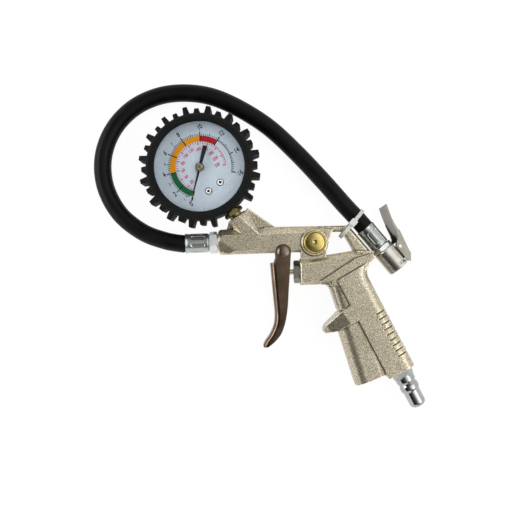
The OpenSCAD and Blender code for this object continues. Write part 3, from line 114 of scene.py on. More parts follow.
def ramp(nt, fac, stops):
    r = nt.nodes.new("ShaderNodeValToRGB")
    el = r.color_ramp.elements
    while len(el) < len(stops):
        el.new(0.5)
    for e, (pos, col) in zip(el, stops):
        e.position = pos
        e.color = (*col, 1)
    nt.links.new(fac, r.inputs["Fac"])
    return r.outputs["Color"]


def remap(nt, fac, lo, hi):
    """Spreads the middle of a noise, 0.3 to 0.7, over lo to hi."""
    n = add(nt, "MapRange", From_Min=0.3, From_Max=0.7, To_Min=lo, To_Max=hi)
    nt.links.new(fac, n.inputs["Value"])
    return n.outputs["Result"]


def bump(nt, bsdf, layers):
    """layers: (height socket, depth in mm); they add up."""
    last = None
    for height, depth in layers:
        b = add(nt, "Bump", Strength=1.0, Distance=depth * MM)
        nt.links.new(height, b.inputs["Height"])
        if last:
            nt.links.new(last, b.inputs["Normal"])
        last = b.outputs["Normal"]
    nt.links.new(last, bsdf.inputs["Normal"])


def multiplied(nt, a, b):
    n = add(nt, "Mix", data_type="RGBA", blend_type="MULTIPLY", Factor=1.0)
    nt.links.new(a, n.inputs[6])
    nt.links.new(b, n.inputs[7])
    return n.outputs[2]


def metal(name, light, dark, rough=(0.2, 0.34), grain=900, stretch=(1, 1, 1), depth=0.004,
          blot=90, metallic=1.0):
    """Worked metal: two tones in blotches, a fine grain that stretch draws out, uneven gloss."""
    m, nt, b = new_tree(name)
    b.inputs["Metallic"].default_value = metallic
    tone = ramp(nt, noise(nt, blot, 4), [(0.35, dark), (0.65, light)])
    nt.links.new(tone, b.inputs["Base Color"])
    fine = noise(nt, grain, 2, stretch=stretch)
    nt.links.new(remap(nt, fine, *rough), b.inputs["Roughness"])
    bump(nt, b, [(fine, depth), (noise(nt, blot * 2, 2), depth * 2)])
    return m


def rubber(name, light, dark, rough=(0.42, 0.6), depth=0.03, grain=700, gloss=0.5):
    m, nt, b = new_tree(name)
    b.inputs["Specular IOR Level"].default_value = gloss
    tone = ramp(nt, noise(nt, 60, 4), [(0.3, dark), (0.7, light)])
    nt.links.new(tone, b.inputs["Base Color"])
    nt.links.new(remap(nt, noise(nt, 120, 4), *rough), b.inputs["Roughness"])
    bump(nt, b, [(noise(nt, grain, 3), depth)])
    return m


def casting_paint():
    """Champagne metallic paint over a blasted die casting: speckle, sparkle and orange peel, with
    painted highlights on its ridges and painted shade in its creases.
    """
    m, nt, b = new_tree("casting_paint")
    b.inputs["Metallic"].default_value = 0.85
    base = ramp(nt, noise(nt, 45, 3), [(0.3, (0.51, 0.46, 0.355)), (0.7, (0.59, 0.545, 0.425))])
    speck = ramp(nt, noise(nt, 1700, 2, 0.75),
                 [(0.385, (0.3, 0.26, 0.23)), (0.47, (0.86, 0.84, 0.82)),
                  (0.55, (1.05, 1.05, 1.04)), (0.64, (1.6, 1.58, 1.52))])
    # painted light: the base colour is lighter on convex edges (painted highlight) and darker in
    # concave creases (painted shade), from the mesh's pointiness
    curvature = nt.nodes.new("ShaderNodeNewGeometry").outputs["Pointiness"]
    painted_ridge_light_crease_shade = ramp(nt, curvature, [(0.47, (0.3, 0.28, 0.25)), (0.493, (1, 1, 1)), (0.503, (1, 1, 1)),
                           (0.52, (1.45, 1.43, 1.38))])
    tone = multiplied(nt, multiplied(nt, base, speck), painted_ridge_light_crease_shade)
    nt.links.new(tone, b.inputs["Base Color"])
    nt.links.new(remap(nt, noise(nt, 1500, 2), 0.24, 0.4), b.inputs["Roughness"])
    bump(nt, b, [(noise(nt, 1800, 3, 0.65), 0.05), (noise(nt, 420, 2), 0.05)])
    return m


def lens_glass():
    m, nt, b = new_tree("lens")
    b.inputs["Transmission Weight"].default_value = 1.0
    b.inputs["IOR"].default_value = 1.16
    nt.links.new(remap(nt, noise(nt, 70, 2), 0.0, 0.03), b.inputs["Roughness"])
    nt.links.new(ramp(nt, noise(nt, 30, 2), [(0, (0.96, 0.98, 0.99)), (1, (1, 1, 1))]),
                 b.inputs["Base Color"])
    return m


def printed(name, colour, rough=0.5, gloss=0.25):
    m, nt, b = new_tree(name)
    b.inputs["Specular IOR Level"].default_value = gloss
    b.inputs["Roughness"].default_value = rough
    tone = ramp(nt, noise(nt, 400, 3), [(0.3, tuple(c * 0.9 for c in colour)), (0.7, colour)])
    nt.links.new(tone, b.inputs["Base Color"])
    return m


MAT = {
    "casting_paint": casting_paint(),
    "zinc_plate": metal("zinc_plate", (0.62, 0.65, 0.64), (0.46, 0.49, 0.48), (0.18, 0.32)),
    "ferrule_steel": metal("ferrule_steel", (0.46, 0.49, 0.47), (0.34, 0.37, 0.35), (0.16, 0.28)),
    "chrome": metal("chrome", (0.46, 0.47, 0.465), (0.37, 0.38, 0.375), (0.04, 0.1), depth=0.002),
    "chuck_metal": metal("chuck_metal", (0.56, 0.55, 0.51), (0.44, 0.43, 0.39), (0.22, 0.36)),
    "lever_metal": metal("lever_metal", (0.29, 0.28, 0.245), (0.22, 0.21, 0.185), (0.2, 0.32)),
    "trigger_metal": metal("trigger_metal", (0.19, 0.13, 0.092), (0.11, 0.075, 0.053),
                           (0.16, 0.28), stretch=(1, 0.15, 1)),
    "rivet_metal": metal("rivet_metal", (0.28, 0.22, 0.19), (0.19, 0.145, 0.12), (0.25, 0.36)),
    "rod_metal": metal("rod_metal", (0.62, 0.6, 0.48), (0.5, 0.48, 0.36), (0.05, 0.12)),
    "brass": metal("brass", (0.64, 0.52, 0.2), (0.47, 0.365, 0.12), (0.14, 0.28)),
    "hub_brass": metal("hub_brass", (0.17, 0.155, 0.11), (0.12, 0.11, 0.075), (0.25, 0.4)),
    "stem_brass": metal("stem_brass", (0.34, 0.28, 0.13), (0.24, 0.19, 0.08), (0.24, 0.36)),
    "nut_green": metal("nut_green", (0.24, 0.245, 0.205), (0.16, 0.165, 0.14), (0.14, 0.26)),
    # a lighter, less metallic plated metal for the hose nipple: its extra lightness is painted
    # light
    "nipple_painted_lit": metal("nipple_painted_lit", (0.84, 0.87, 0.86), (0.72, 0.75, 0.74), (0.18, 0.3),
                        metallic=0.5),
    # a lighter, less metallic copy of the sleeve steel for the front sleeve: its extra lightness
    # is painted light
    "ferrule_painted_lit": metal("ferrule_painted_lit", (0.54, 0.57, 0.55), (0.41, 0.44, 0.42), (0.16, 0.28),
                            metallic=0.85),
    "tube_bronze": metal("tube_bronze", (0.60, 0.38, 0.20), (0.45, 0.28, 0.15), (0.3, 0.45)),
    "spring_steel": metal("spring_steel", (0.55, 0.56, 0.56), (0.42, 0.43, 0.43), (0.2, 0.35)),
    "black_rubber": rubber("black_rubber", (0.02, 0.02, 0.02), (0.012, 0.012, 0.012)),
    "boot_rubber": rubber("boot_rubber", (0.009, 0.0095, 0.0095), (0.0045, 0.005, 0.005),
                          (0.62, 0.8), 0.03, gloss=0.14),
    "hose_rubber": rubber("hose_rubber", (0.0042, 0.0048, 0.0045), (0.0022, 0.0025, 0.0023),
                          (0.34, 0.5), 0.02, 500, gloss=0.13),
    "case_paint": printed("case_paint", (0.02, 0.02, 0.022), 0.4),
    "pointer_black": printed("pointer_black", (0.008, 0.008, 0.010), 0.35, 0.15),
    "dial_face": printed("dial_face", (0.385, 0.45, 0.51), 0.45),
    "lens": lens_glass(),
    "washer_grey": printed("washer_grey", (0.03, 0.03, 0.03), 0.5),
    "nylon": rubber("nylon", (0.78, 0.79, 0.76), (0.70, 0.71, 0.68), (0.3, 0.45), 0.02),
}
INK = {
    "black": printed("ink_black", (0.012, 0.012, 0.016), gloss=0.1),
    "red": printed("ink_red", (0.42, 0.015, 0.08), gloss=0.1),
    "band_red": printed("band_red", (0.29, 0.005, 0.008), gloss=0.1),
    "band_orange": printed("band_orange", (0.52, 0.21, 0.003), gloss=0.1),
    "band_green": printed("band_green", (0.003, 0.085, 0.026), gloss=0.1),
}
SLOT_OF = {s["node"]: s["material_slot"] for s in frame["record"]["subparts"]}


# ---------------------------------------------------------------- mesh helpers (mm in, m out)
def piece(name, verts, faces, mat, body, replaces=(), smooth=True, sharp=35):
    """A mesh piece from points in mm."""
    mesh = bpy.data.meshes.new(name)
    mesh.from_pydata([(x * MM, y * MM, z * MM) for x, y, z in verts], [], faces)
    return finish_piece(name, mesh, mat, body, replaces, smooth, sharp)


def finish_piece(name, mesh, mat, body, replaces=(), smooth=True, sharp=35):
    bm = bmesh.new()
    bm.from_mesh(mesh)
    bmesh.ops.remove_doubles(bm, verts=bm.verts, dist=1e-7)
    bmesh.ops.recalc_face_normals(bm, faces=bm.faces)
    for e in bm.edges:
        e.smooth = not (e.is_manifold and e.calc_face_angle(0) > rad(sharp))
    for f in bm.faces:
        f.smooth = smooth
    bm.to_mesh(mesh)
    bm.free()
    mesh.materials.clear()
    mesh.materials.append(mat)
    obj = bpy.data.objects.new(name, mesh)
    SCENE.collection.objects.link(obj)
    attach(obj, body)
    if replaces:
        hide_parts(*replaces)
    return obj


def soften(obj, width, segments=2):
    """Rounds the sharp edges of a piece or a CAD node."""
    w = obj.modifiers.new("weld", "WELD")
    w.merge_threshold = 2e-6
    b = obj.modifiers.new("bevel", "BEVEL")
    b.width = width * MM
    b.segments = segments
    b.limit_method = "ANGLE"
    b.angle_limit = rad(30)
    b.use_clamp_overlap = True
    b.harden_normals = True
    n = obj.modifiers.new("normals", "WEIGHTED_NORMAL")
    n.keep_sharp = True


def sweep(rings, closed=False):
    """Vertices and faces through equal rings of points."""
    n = len(rings[0])
    verts = [p for r in rings for p in r]
    faces = []
    last = len(rings) if closed else len(rings) - 1
    for i in range(last):
        j = (i + 1) % len(rings)
        for k in range(n):
            m = (k + 1) % n
            faces.append((i * n + k, i * n + m, j * n + m, j * n + k))
    if not closed:
        faces.append(tuple(range(n - 1, -1, -1)))
        faces.append(tuple((len(rings) - 1) * n + k for k in range(n)))
    return verts, faces


def prism(points, z0, z1):
    """A flat shape in plan (mm) from z0 to z1."""
    n = len(points)
    verts = [(x, y, z0) for x, y in points] + [(x, y, z1) for x, y in points]
    faces = [tuple(range(n - 1, -1, -1)), tuple(range(n, 2 * n))]
    faces += [(k, (k + 1) % n, n + (k + 1) % n, n + k) for k in range(n)]
    return verts, faces


def merged(parts):
    verts, faces = [], []
    for v, f in parts:
        base = len(verts)
        verts += v
        faces += [tuple(i + base for i in face) for face in f]
    return verts, faces


def on_axis(origin, angle):
    """Local (along, across, up) to row mm, with the middle plane at up = 0."""
    c, s = math.cos(rad(angle)), math.sin(rad(angle))
    return lambda a, b, h: (origin[0] + a * c - b * s, origin[1] + a * s + b * c, MID + h)


def arc(cx, cy, r, a0, a1, n):
    """n + 1 points of a circle, from angle a0 to a1."""
    return [(cx + r * math.cos(rad(a0 + (a1 - a0) * i / n)),
             cy + r * math.sin(rad(a0 + (a1 - a0) * i / n))) for i in range(n + 1)]


def smooth_step(x):
    x = min(max(x, 0.0), 1.0)
    return x * x * (3 - 2 * x)


# ---------------------------------------------------------------- hose
CHUCK_AT = (141.5, -77.2)       # centre of the chuck's mouth
CHUCK_ANGLE = -51.7
CHUCK_DIR = polar(1, CHUCK_ANGLE)


def along_chuck(run):
    """A point of the chuck's axis, run mm out of its mouth."""
    return (CHUCK_AT[0] + run * CHUCK_DIR[0], CHUCK_AT[1] + run * CHUCK_DIR[1])


HOSE_R = 6.4
ROUTE = [
    (3.65, -54, 13.5), (-12.4, -54, 13.5), (-15.2, -54, 13.5), (-27.6, -51.4, 12.4),
    (-44.1, -44.6, 9.4), (-60.1, -31.4, 7.2), (-69.8, -14, HOSE_R), (-72.6, 3.4, HOSE_R),
    (-69.6, 20.2, HOSE_R), (-60.8, 35.8, HOSE_R), (-46.5, 48.3, HOSE_R), (-28.3, 55.5, HOSE_R),
    (-8.9, 56.8, HOSE_R), (10.3, 53.2, HOSE_R), (30.5, 43.4, HOSE_R), (51, 29, 6.8),
    (70, 9.9, 8.3), (88.5, -11.6, 10.9), (102.5, -29, 13), (111.8, -39.8, 13.5),
    (*along_chuck(-40.7), 13.5), (*along_chuck(-35.2), 13.5), (*along_chuck(-21.9), 13.5),
]


def make_hose():
    """A tube along ROUTE, smoothed as a Catmull-Rom curve."""
    curve = bpy.data.curves.new("air_hose_curve", "CURVE")
    curve.dimensions = "3D"
    curve.bevel_depth = HOSE_R * MM
    curve.bevel_resolution = 8
    curve.resolution_u = 10
    curve.use_fill_caps = True
    sp = curve.splines.new("BEZIER")
    sp.bezier_points.add(len(ROUTE) - 1)
    pts = [Vector(p) * MM for p in ROUTE]
    for i, bp in enumerate(sp.bezier_points):
        t = (pts[min(i + 1, len(pts) - 1)] - pts[max(i - 1, 0)]) / 6
        bp.handle_left_type = bp.handle_right_type = "FREE"
        bp.co, bp.handle_left, bp.handle_right = pts[i], pts[i] - t, pts[i] + t
    obj = bpy.data.objects.new("hose_tube", curve)
    SCENE.collection.objects.link(obj)
    curve.materials.append(MAT["hose_rubber"])
    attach(obj, "frame")
    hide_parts("air_hose")
    return obj


hose = make_hose()


# ---------------------------------------------------------------- crimped ferrules
SLEEVE_LENGTH, SLEEVE_R = 17, 6.95
SLEEVE_BORE, NUT_END_BORE = 6.45, 3.1           # radii inside, round the hose and at the nut
NUT_END_WALL = 0.7
CRIMP_STEP, CRIMP_TURN = 45, 12                 # degrees between crimps, and of the first one
CRIMP_FROM, CRIMP_TO = 4.4, 11.4                # its middle line, along the sleeve
CRIMP_HALF, CRIMP_FLANK, CRIMP_DEPTH = 1.3, 0.4, 0.42
SLEEVE_SIDES, SLEEVE_ROWS = 192, 56


def make_ferrule(name, node, origin, angle, look):
    """A pressed sleeve with eight long oval crimps; local x runs from the nut to the hose."""
    at = on_axis(origin, angle)
    outer = [(0, SLEEVE_R - 0.8), (0.25, SLEEVE_R - 0.3), (0.8, SLEEVE_R)]
    outer += [(1.2 + 13.9 * i / SLEEVE_ROWS, SLEEVE_R) for i in range(SLEEVE_ROWS + 1)]
    outer += [(15.5, SLEEVE_R + 0.05), (16.2, SLEEVE_R + 0.25), (16.7, SLEEVE_R + 0.42),
              (SLEEVE_LENGTH, SLEEVE_R + 0.4)]
    inner = [(SLEEVE_LENGTH, SLEEVE_BORE), (NUT_END_WALL, SLEEVE_BORE),
             (NUT_END_WALL, NUT_END_BORE), (0, NUT_END_BORE)]
    rings = []
    for k in range(SLEEVE_SIDES):
        a = 360 * k / SLEEVE_SIDES
        off = (a - CRIMP_TURN + CRIMP_STEP / 2) % CRIMP_STEP - CRIMP_STEP / 2
        across = abs(rad(off) * SLEEVE_R)
        ring = []
        for x, r in outer:
            d = math.hypot(across, x - min(max(x, CRIMP_FROM), CRIMP_TO))
            press = CRIMP_DEPTH * (1 - smooth_step((d - CRIMP_HALF) / CRIMP_FLANK))
            ring.append((x, r - press))
        c, s = polar(1, a)
        rings.append([at(-x, r * c, r * s) for x, r in ring + inner])
    v, f = sweep(rings, closed=True)
    piece(name, v, f, MAT[look], "frame", [node], sharp=50)


# the front sleeve takes the painted-lit copy of the sleeve steel
make_ferrule("front_sleeve", "front_ferrule", (4.35, -54), 0, "ferrule_painted_lit")
make_ferrule("chuck_sleeve", "chuck_ferrule", along_chuck(-21.2), CHUCK_ANGLE, "ferrule_steel")


# ---------------------------------------------------------------- casting
# where the nose's foot runs on to the heel, in plan, and half its thickness
FOOT = [(117, -131.6), (122.3, -153.6), (123.8, -154.05), (129.8, -152.5), (121.6, -134.4)]
FOOT_HALF = 10.9
VOXEL = 0.36                    # fine enough to keep the ribs' edges


def make_casting():
    """The CAD casting with the soft fillets of a painted die casting."""
    mesh = NODE["body_casting"].data.copy()
    bm = bmesh.new()
    bm.from_mesh(mesh)
    v, f = prism(FOOT, MID - FOOT_HALF, MID + FOOT_HALF)
    v = [bm.verts.new(Vector(p) * MM) for p in v]
    for face in f:
        bm.faces.new([v[i] for i in face])
    bm.to_mesh(mesh)
    bm.free()
    obj = finish_piece("casting", mesh, MAT["casting_paint"], "frame",
                       ["body_casting"], sharp=180)
    r = obj.modifiers.new("remesh", "REMESH")
    r.mode = "VOXEL"
    r.voxel_size = VOXEL * MM
    r.use_smooth_shade = True
    s = obj.modifiers.new("soft", "SMOOTH")
    s.factor = 0.5
    s.iterations = 3


make_casting()

# ---------------------------------------------------------------- trigger
SHEET, BEND = 1.5, 4.2          # thickness, and the outer radius of the fold
PIVOT, EAR_R = (57.4, -62.5), 5.6
EAR_MID, EAR_HALF = 9.75, 0.7   # from the middle plane, and half the thickness
STATIONS = [                    # down the trigger: front x, back x, y, half width
    (47.9, 62.4, -70.2, 10.5), (48.3, 61.6, -78, 10.5), (49, 60.45, -90, 10.1),
    (49.6, 59.65, -99.5, 9.7), (49.95, 58.6, -107, 9.3), (49.2, 57, -114, 9.0),
    (46.2, 54.2, -121, 8.7), (42.4, 49.9, -126.3, 8.3), (41, 46.4, -129.2, 7.9),
    (41.2, 44.2, -130.8, 7.1),
]


def spline(values, t):
    """Catmull-Rom through the rows of values at t from 0 to 1."""
    x = t * (len(values) - 1)
    i = min(int(x), len(values) - 2)
    u = x - i
    rows = [values[min(max(i + k, 0), len(values) - 1)] for k in (-1, 0, 1, 2)]
    return [(2 * b + (c - a) * u + (2 * a - 5 * b + 4 * c - d) * u * u
             + (3 * b - a - 3 * c + d) * u ** 3) / 2 for a, b, c, d in zip(*rows)]


def u_section(front, back, y, w):
    """The folded sheet's outline, open to the back, w from the middle plane on each side."""
    depth = back - front
    r = min(BEND, depth * 0.8)
    ri = max(r - SHEET, 0.3)
    t = SHEET
    line = [(back, w)] + arc(front + r, w - r, r, 90, 180, 8)
    line += arc(front + r, r - w, r, 180, 270, 8) + [(back, -w)]
    line += [(back - 0.1, -w + t * 0.3), (back - 0.1, t * 0.7 - w), (back, t - w)]
    line += arc(front + t + ri, ri + t - w, ri, 270, 180, 8)
    line += arc(front + t + ri, w - ri - t, ri, 180, 90, 8) + [(back, w - t)]
    return [(x, y, MID + z) for x, z in line]


def make_trigger():
    rings = [u_section(*spline(STATIONS, i / 60)) for i in range(61)]
    v, f = sweep(rings)
    obj = piece("trigger_channel", v, f, MAT["trigger_metal"], "trigger",
                ["trigger"], sharp=40)
    soften(obj, 0.2)
    ear = arc(*PIVOT, EAR_R, -4, 184, 26)
    ear += [(51.95, -66.5), (50.8, -69.6), (49.9, -71.6), (53.4, -74), (61.6, -76), (62.3, -70)]
    for side, name in ((1, "trigger_ear_top"), (-1, "trigger_ear_under")):
        z = MID + side * EAR_MID
        v, f = prism(ear, z - EAR_HALF, z + EAR_HALF)
        soften(piece(name, v, f, MAT["trigger_metal"], "trigger"), 0.25)


make_trigger()


# ---------------------------------------------------------------- gauge
DIAL_Z = 21.2                   # face of the dial
BAND_Z, MARK_Z = DIAL_Z + 0.03, DIAL_Z + 0.06
SCALE_AT = (0.7, 0.5)           # centre of the printed scale
UPRIGHT = 34.8                  # reading direction of the dial's numbers
PSI_PER_BAR = 14.5038
BAND_IN, BAND_OUT = 18.1, 22.2
# radius of each number, which varies as it does in print
BAR_NUMBERS = {0: 27.7, 1: 26.4, 2: 27.2, 3: 25.7, 4: 26.9, 5: 25.8, 6: 27.5, 7: 26.0,
               8: 27.9, 10: 28.3, 12: 27.9, 14: 28.1, 16: 28.5}
PSI_NUMBERS = {20: 12.9, 40: 12.8, 60: 13.0, 80: 13.0, 100: 13.3, 120: 13.3, 140: 12.4,
               160: 12.2, 180: 12.0, 200: 12.0, 220: 11.8}


def bar_angle(p):
    """Place of a pressure in bar on the scale, which is closer below 1 bar than above."""
    return 253.6 - 11.8 * p if p <= 1 else 258.7 - 16.875 * p


def annulus(r0, r1, p0, p1):
    """A printed band from one pressure to another."""
    a0, a1 = bar_angle(p0), bar_angle(p1)
    n = max(2, int(abs(a1 - a0) / 3))
    pts = arc(*SCALE_AT, r1, a0, a1, n) + arc(*SCALE_AT, r0, a1, a0, n)
    k = len(pts)
    return [(x, y, BAND_Z) for x, y in pts], [(i, i + 1, k - 2 - i, k - 1 - i) for i in range(n)]


def tick(p, r0, r1, w):
    """A printed stroke at a pressure, w wide."""
    c, s = polar(1, bar_angle(p))
    pts = [(r0, -w / 2), (r1, -w / 2), (r1, w / 2), (r0, w / 2)]
    return [(SCALE_AT[0] + a * c - b * s, SCALE_AT[1] + a * s + b * c, MARK_Z)
            for a, b in pts], [(0, 1, 2, 3)]


def number(text, r, angle, size, thick, narrow):
    """Upright digits as flat mesh, centred at r on the angle."""
    curve = bpy.data.curves.new("digits", "FONT")
    curve.body = text
    curve.size = size
    curve.align_x = "CENTER"
    curve.align_y = "CENTER"
    curve.shear = 0.08
    curve.offset = thick
    curve.resolution_u = 4
    tmp = bpy.data.objects.new("digits", curve)
    SCENE.collection.objects.link(tmp)
    deps = bpy.context.evaluated_depsgraph_get()
    mesh = bpy.data.meshes.new_from_object(tmp.evaluated_get(deps))
    x0, y0 = polar(r, angle)
    x0, y0 = x0 + SCALE_AT[0], y0 + SCALE_AT[1]
    c, s = polar(1, UPRIGHT)
    v = [(x0 + p.co.x * narrow * c - p.co.y * s, y0 + p.co.x * narrow * s + p.co.y * c, MARK_Z)
         for p in mesh.vertices]
    f = [tuple(p.vertices) for p in mesh.polygons]
    bpy.data.objects.remove(tmp)
    bpy.data.curves.remove(curve)
    bpy.data.meshes.remove(mesh)
    return v, f


def bar_marks():
    """The outer scale: a thin line where no band is, a stroke each 0.2 bar, and numbers."""
    marks = [annulus(22.0, 22.4, 12, 16)]
    for i in range(81):
        p = i * 0.2
        if i % 10 == 0:
            marks.append(tick(p, BAND_IN if p <= 12 else BAND_OUT, 25.2, 0.8))
        elif i % 5 == 0:
            marks.append(tick(p, BAND_OUT, 24.2, 0.6))
        elif p > 0.5:
            marks.append(tick(p, 22.1, 23.6, 0.48))
    for p, r in BAR_NUMBERS.items():
        size, thick = (3.1, 0.09) if p % 2 else (5.1, 0.13)
        marks.append(number(str(p), r, bar_angle(p), size, thick, 0.74))
    return marks


def psi_marks():
    """The inner scale: a stroke each 5 psi, a longer one each 20, and numbers."""
    marks = []
    for i in range(1, 45):
        inner, width = (15.5, 0.8) if i % 4 == 0 else (16.5, 0.55)
        marks.append(tick(i * 5 / PSI_PER_BAR, inner, 17.9, width))
    marks.append(annulus(17.8, BAND_IN, 12, 15.2))
    for q, r in PSI_NUMBERS.items():
        marks.append(number(str(q), r, bar_angle(q / PSI_PER_BAR) + 1.5, 3.2, 0.09, 0.88))
    return marks


def make_dial():
    for name, parts, ink in (("marks_black", bar_marks(), "black"),
                             ("marks_red", psi_marks(), "red"),
                             ("band_low", [annulus(BAND_IN, BAND_OUT, 0.25, 4)], "band_green"),
                             ("band_mid", [annulus(BAND_IN, BAND_OUT, 4, 10)], "band_orange"),
                             ("band_high", [annulus(BAND_IN, BAND_OUT, 10, 12)], "band_red")):
        v, f = merged(parts)
        piece(name, v, f, INK[ink], "frame", smooth=False)


make_dial()
NODE["gauge_lens"].visible_shadow = False


def disc(at, r0, r1, z0, z1, n=48):
    """A flat ring, or a disc where r0 is 0, from z0 to z1."""
    inner, outer = (arc(*at, r, 0, 360, n)[:-1] for r in (max(r0, 0.02), r1))
    return sweep([[(*inner[k], z0), (*outer[k], z0), (*outer[k], z1), (*inner[k], z1)]
                  for k in range(n)], closed=True)


SCREWS_ANGLE, SCREWS_OUT, SCREW_ASIDE = -55.2, 17.2, 5.2
HUB_Z, HUB_TOP, HUB_R = DIAL_Z + 2.65, DIAL_Z + 3.55, 2.9
STOP_PIN_AT = polar(21.6, 256.6)


def make_dial_fittings():
    """Painted shade at the dial's screws, black rings round their heads and black discs over their
    recesses; the pointer's hub and its stop pin.
    """
    dark = []
    c, s = polar(1, SCREWS_ANGLE)
    for aside in (-SCREW_ASIDE, SCREW_ASIDE):
        at = (SCREWS_OUT * c - aside * s, SCREWS_OUT * s + aside * c)
        # painted shade: a black ring where each screw head meets the dial, and a black disc over
        # its recess
        dark.append(disc(at, 2.2, 2.6, DIAL_Z + 0.02, DIAL_Z + 0.1))
        dark.append(disc(at, 0, 1.0, DIAL_Z + 0.3, DIAL_Z + 0.92))
    v, f = merged(dark)
    piece("screw_painted_shade", v, f, INK["black"], "frame", smooth=False)
    v, f = disc((0, 0), 0, HUB_R, HUB_Z, HUB_TOP)
    soften(piece("pointer_hub", v, f, MAT["hub_brass"], "pointer"), 0.2)
    v, f = disc((0, 0), 0, 0.45, HUB_TOP - 0.05, HUB_TOP + 0.05)
    piece("hub_centre", v, f, INK["black"], "pointer", smooth=False)
    v, f = disc(STOP_PIN_AT, 0, 0.45, DIAL_Z, DIAL_Z + 2.2, 16)
    piece("stop_pin", v, f, MAT["brass"], "frame")


make_dial_fittings()


# ---------------------------------------------------------------- cable tie
TIE_AT, TIE_ANGLE = (111.6, -39.8), -132
TIE_R = HOSE_R + 0.35           # round the hose
LOOP_R, LOOP_REACH = 6.6, 11.0  # round the hanging loop's corner, and how far off that is
# half the strap's outline, with one of its two grooves: across, out
TIE_PROFILE = [(-1.3, 0), (-1.3, 0.75), (-1.1, 1.05), (-0.75, 1.05), (-0.6, 0.8), (-0.3, 0.8),
               (-0.15, 1.05)]


def make_tie():
    """The nylon strap that holds the hose to the body's hanging loop, with its head."""
    at = on_axis(TIE_AT, TIE_ANGLE)
    a = math.degrees(math.acos((TIE_R - LOOP_R) / LOOP_REACH))
    path = arc(0, 0, TIE_R, a, 360 - a, 40) + arc(LOOP_REACH, 0, LOOP_R, -a, a, 34)
    section = TIE_PROFILE + [(-w, h) for w, h in reversed(TIE_PROFILE)]
    rings = []
    for i, (x, y) in enumerate(path):
        p, q = path[i - 1], path[(i + 1) % len(path)]
        tx, ty = q[0] - p[0], q[1] - p[1]
        d = math.hypot(tx, ty)
        nx, ny = ty / d, -tx / d
        rings.append([at(x + nx * h, w, y + ny * h) for w, h in section])
    v, f = sweep(rings, closed=True)
    piece("tie_strap", v, f, MAT["nylon"], "frame", ["cable_tie"], sharp=50)
    head = []
    for x0, x1, w, z0, z1 in ((2.2, 7.2, 2.3, 6.85, 9.85), (0.2, 2.6, 1.2, 7.95, 9.15)):
        v, f = prism([(x0, -w), (x1, -w), (x1, w), (x0, w)], z0, z1)
        head.append(([at(*p) for p in v], f))
    v, f = merged(head)
    soften(piece("tie_head", v, f, MAT["nylon"], "frame", sharp=30), 0.4, 3)


make_tie()

# ---------------------------------------------------------------- claw of the chuck's lever
CHUCK_ROLL = 18                 # degrees that the chuck is turned on its hose
CLAW_ARM = [(-4.0, -0.5), (-3.0, -0.5), (-3.0, 4.6), (-4.0, 4.6)]
CLAW_INNER, CLAW_OUTER = 4.9, 6.2


def make_claw():
    """The claw's two arms, seen in the slots on either side of the socket."""
    c, s = polar(1, CHUCK_ROLL)
    at = on_axis(CHUCK_AT, CHUCK_ANGLE)
    for side, name in ((1, "claw_arm_top"), (-1, "claw_arm_under")):
        v, f = prism(CLAW_ARM, *sorted((side * CLAW_INNER, side * CLAW_OUTER)))
        v = [at(x, y * c + z * s, z * c - y * s) for x, y, z in v]
        piece(name, v, f, MAT["lever_metal"], "lever")


make_claw()

# ---------------------------------------------------------------- the CAD nodes that stay
# the hose nipple takes the painted-lit copy of the plated metal
OWN_LOOK = {"gauge_stem": "stem_brass", "packing_nut": "nut_green", "trigger_rivet": "rivet_metal",
            "valve_rod": "rod_metal", "hose_nipple": "nipple_painted_lit"}
EDGE_WIDTH = {"gauge_boot": 0.45, "hose_nipple": 0.15, "packing_nut": 0.2, "chuck_nipple": 0.15,
              "chuck_body": 0.25, "chuck_lever": 0.15, "inlet_plug": 0.2, "gauge_stem": 0.2,
              "bleed_button": 0.15, "gauge_pointer": 0.05}


def dress_nodes():
    """Each CAD node takes its slot's material, or its own look, and softer edges."""
    for name, obj in NODE.items():
        look = MAT[OWN_LOOK.get(name, SLOT_OF[name])]
        for s in obj.material_slots:
            s.link = "OBJECT"
            s.material = look
        if not obj.material_slots:
            obj.data.materials.append(look)
    for name, width in EDGE_WIDTH.items():
        soften(NODE[name], width)


dress_nodes()

# ---------------------------------------------------------------- floor, light, world
FLOOR_HALF, WALL_HEIGHT = 3, 1.7        # metres; the backdrop is a wall round the floor
GLOW, GLOW_SHARE = 1.06, 0.88           # the rest of the share keeps the object's shadow
LIGHT_FROM = (0.70, 0.16, 0.695)        # middle of the world's bright side


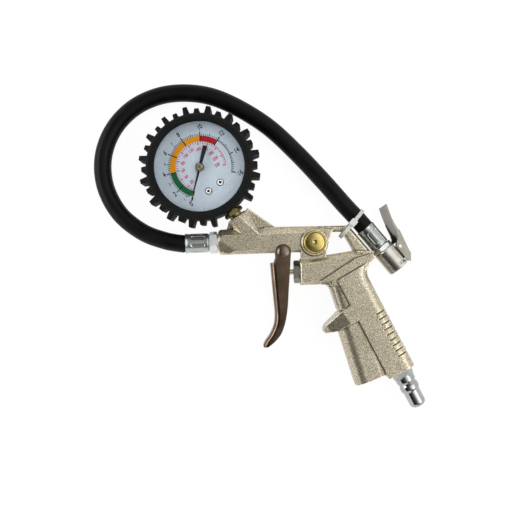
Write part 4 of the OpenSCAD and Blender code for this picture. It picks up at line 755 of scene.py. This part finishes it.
def floor_paper():
    """Pale paper, shown alike to the camera and to what reflects or passes light."""
    m, nt, b = new_tree("floor")
    b.inputs["Base Color"].default_value = (0.92, 0.92, 0.92, 1)
    b.inputs["Roughness"].default_value = 0.9
    b.inputs["Specular IOR Level"].default_value = 0.0
    glow = add(nt, "Emission", Strength=GLOW)
    path = nt.nodes.new("ShaderNodeLightPath")
    seen = path.outputs["Is Camera Ray"]
    for kind in ("Is Glossy Ray", "Is Transmission Ray"):
        either = add(nt, "Math", operation="MAXIMUM")
        nt.links.new(seen, either.inputs[0])
        nt.links.new(path.outputs[kind], either.inputs[1])
        seen = either.outputs[0]
    share = add(nt, "Math", operation="MULTIPLY")
    share.inputs[1].default_value = GLOW_SHARE
    nt.links.new(seen, share.inputs[0])
    pale = nt.nodes.new("ShaderNodeMixShader")
    nt.links.new(share.outputs[0], pale.inputs["Fac"])
    nt.links.new(b.outputs[0], pale.inputs[1])
    nt.links.new(glow.outputs[0], pale.inputs[2])
    nt.links.new(pale.outputs[0], nt.nodes["Material Output"].inputs["Surface"])
    return m


def make_floor():
    h = FLOOR_HALF
    corners = [(-h, -h), (h, -h), (h, h), (-h, h)]
    mesh = bpy.data.meshes.new("floor")
    mesh.from_pydata([(x, y, z) for z in (0, WALL_HEIGHT) for x, y in corners], [],
                     [(0, 1, 2, 3)] + [(i, (i + 1) % 4, (i + 1) % 4 + 4, i + 4) for i in range(4)])
    mesh.materials.append(floor_paper())
    floor = bpy.data.objects.new("floor", mesh)
    SCENE.collection.objects.link(floor)


def make_world():
    """A soft studio, bright towards LIGHT_FROM and dim behind it."""
    world = bpy.data.worlds.new("studio")
    SCENE.world = world
    world.use_nodes = True
    nt = world.node_tree
    toward = add(nt, "VectorMath", operation="DOT_PRODUCT")
    toward.inputs[1].default_value = LIGHT_FROM
    nt.links.new(nt.nodes.new("ShaderNodeTexCoord").outputs["Generated"], toward.inputs[0])
    sky = ramp(nt, toward.outputs["Value"],
               [(0.0, (0.02, 0.02, 0.022)), (0.42, (0.11, 0.11, 0.115)), (0.64, (0.3, 0.3, 0.3)),
                (0.75, (0.75, 0.745, 0.73)), (0.86, (1.5, 1.49, 1.46)), (1.0, (1.7, 1.69, 1.65))])
    nt.links.new(sky, nt.nodes["Background"].inputs["Color"])


def lamp(name, at, size, watts):
    data = bpy.data.lights.new(name, "AREA")
    data.shape = "RECTANGLE"
    data.size, data.size_y = size
    data.energy = watts
    obj = bpy.data.objects.new(name, data)
    obj.location = at
    aim = Vector((0.04, -0.06, 0)) - Vector(at)
    obj.rotation_euler = aim.to_track_quat("-Z", "Y").to_euler()
    SCENE.collection.objects.link(obj)
    return obj


make_floor()
make_world()
lamp("key", (0.85, -0.35, 0.75), (0.5, 0.5), 1.5)
lamp("top", (0.0, -0.1, 1.3), (0.35, 0.35), 2.0).visible_glossy = False
lamp("left", (-0.95, 0.13, 0.52), (0.85, 0.45), 6.0)
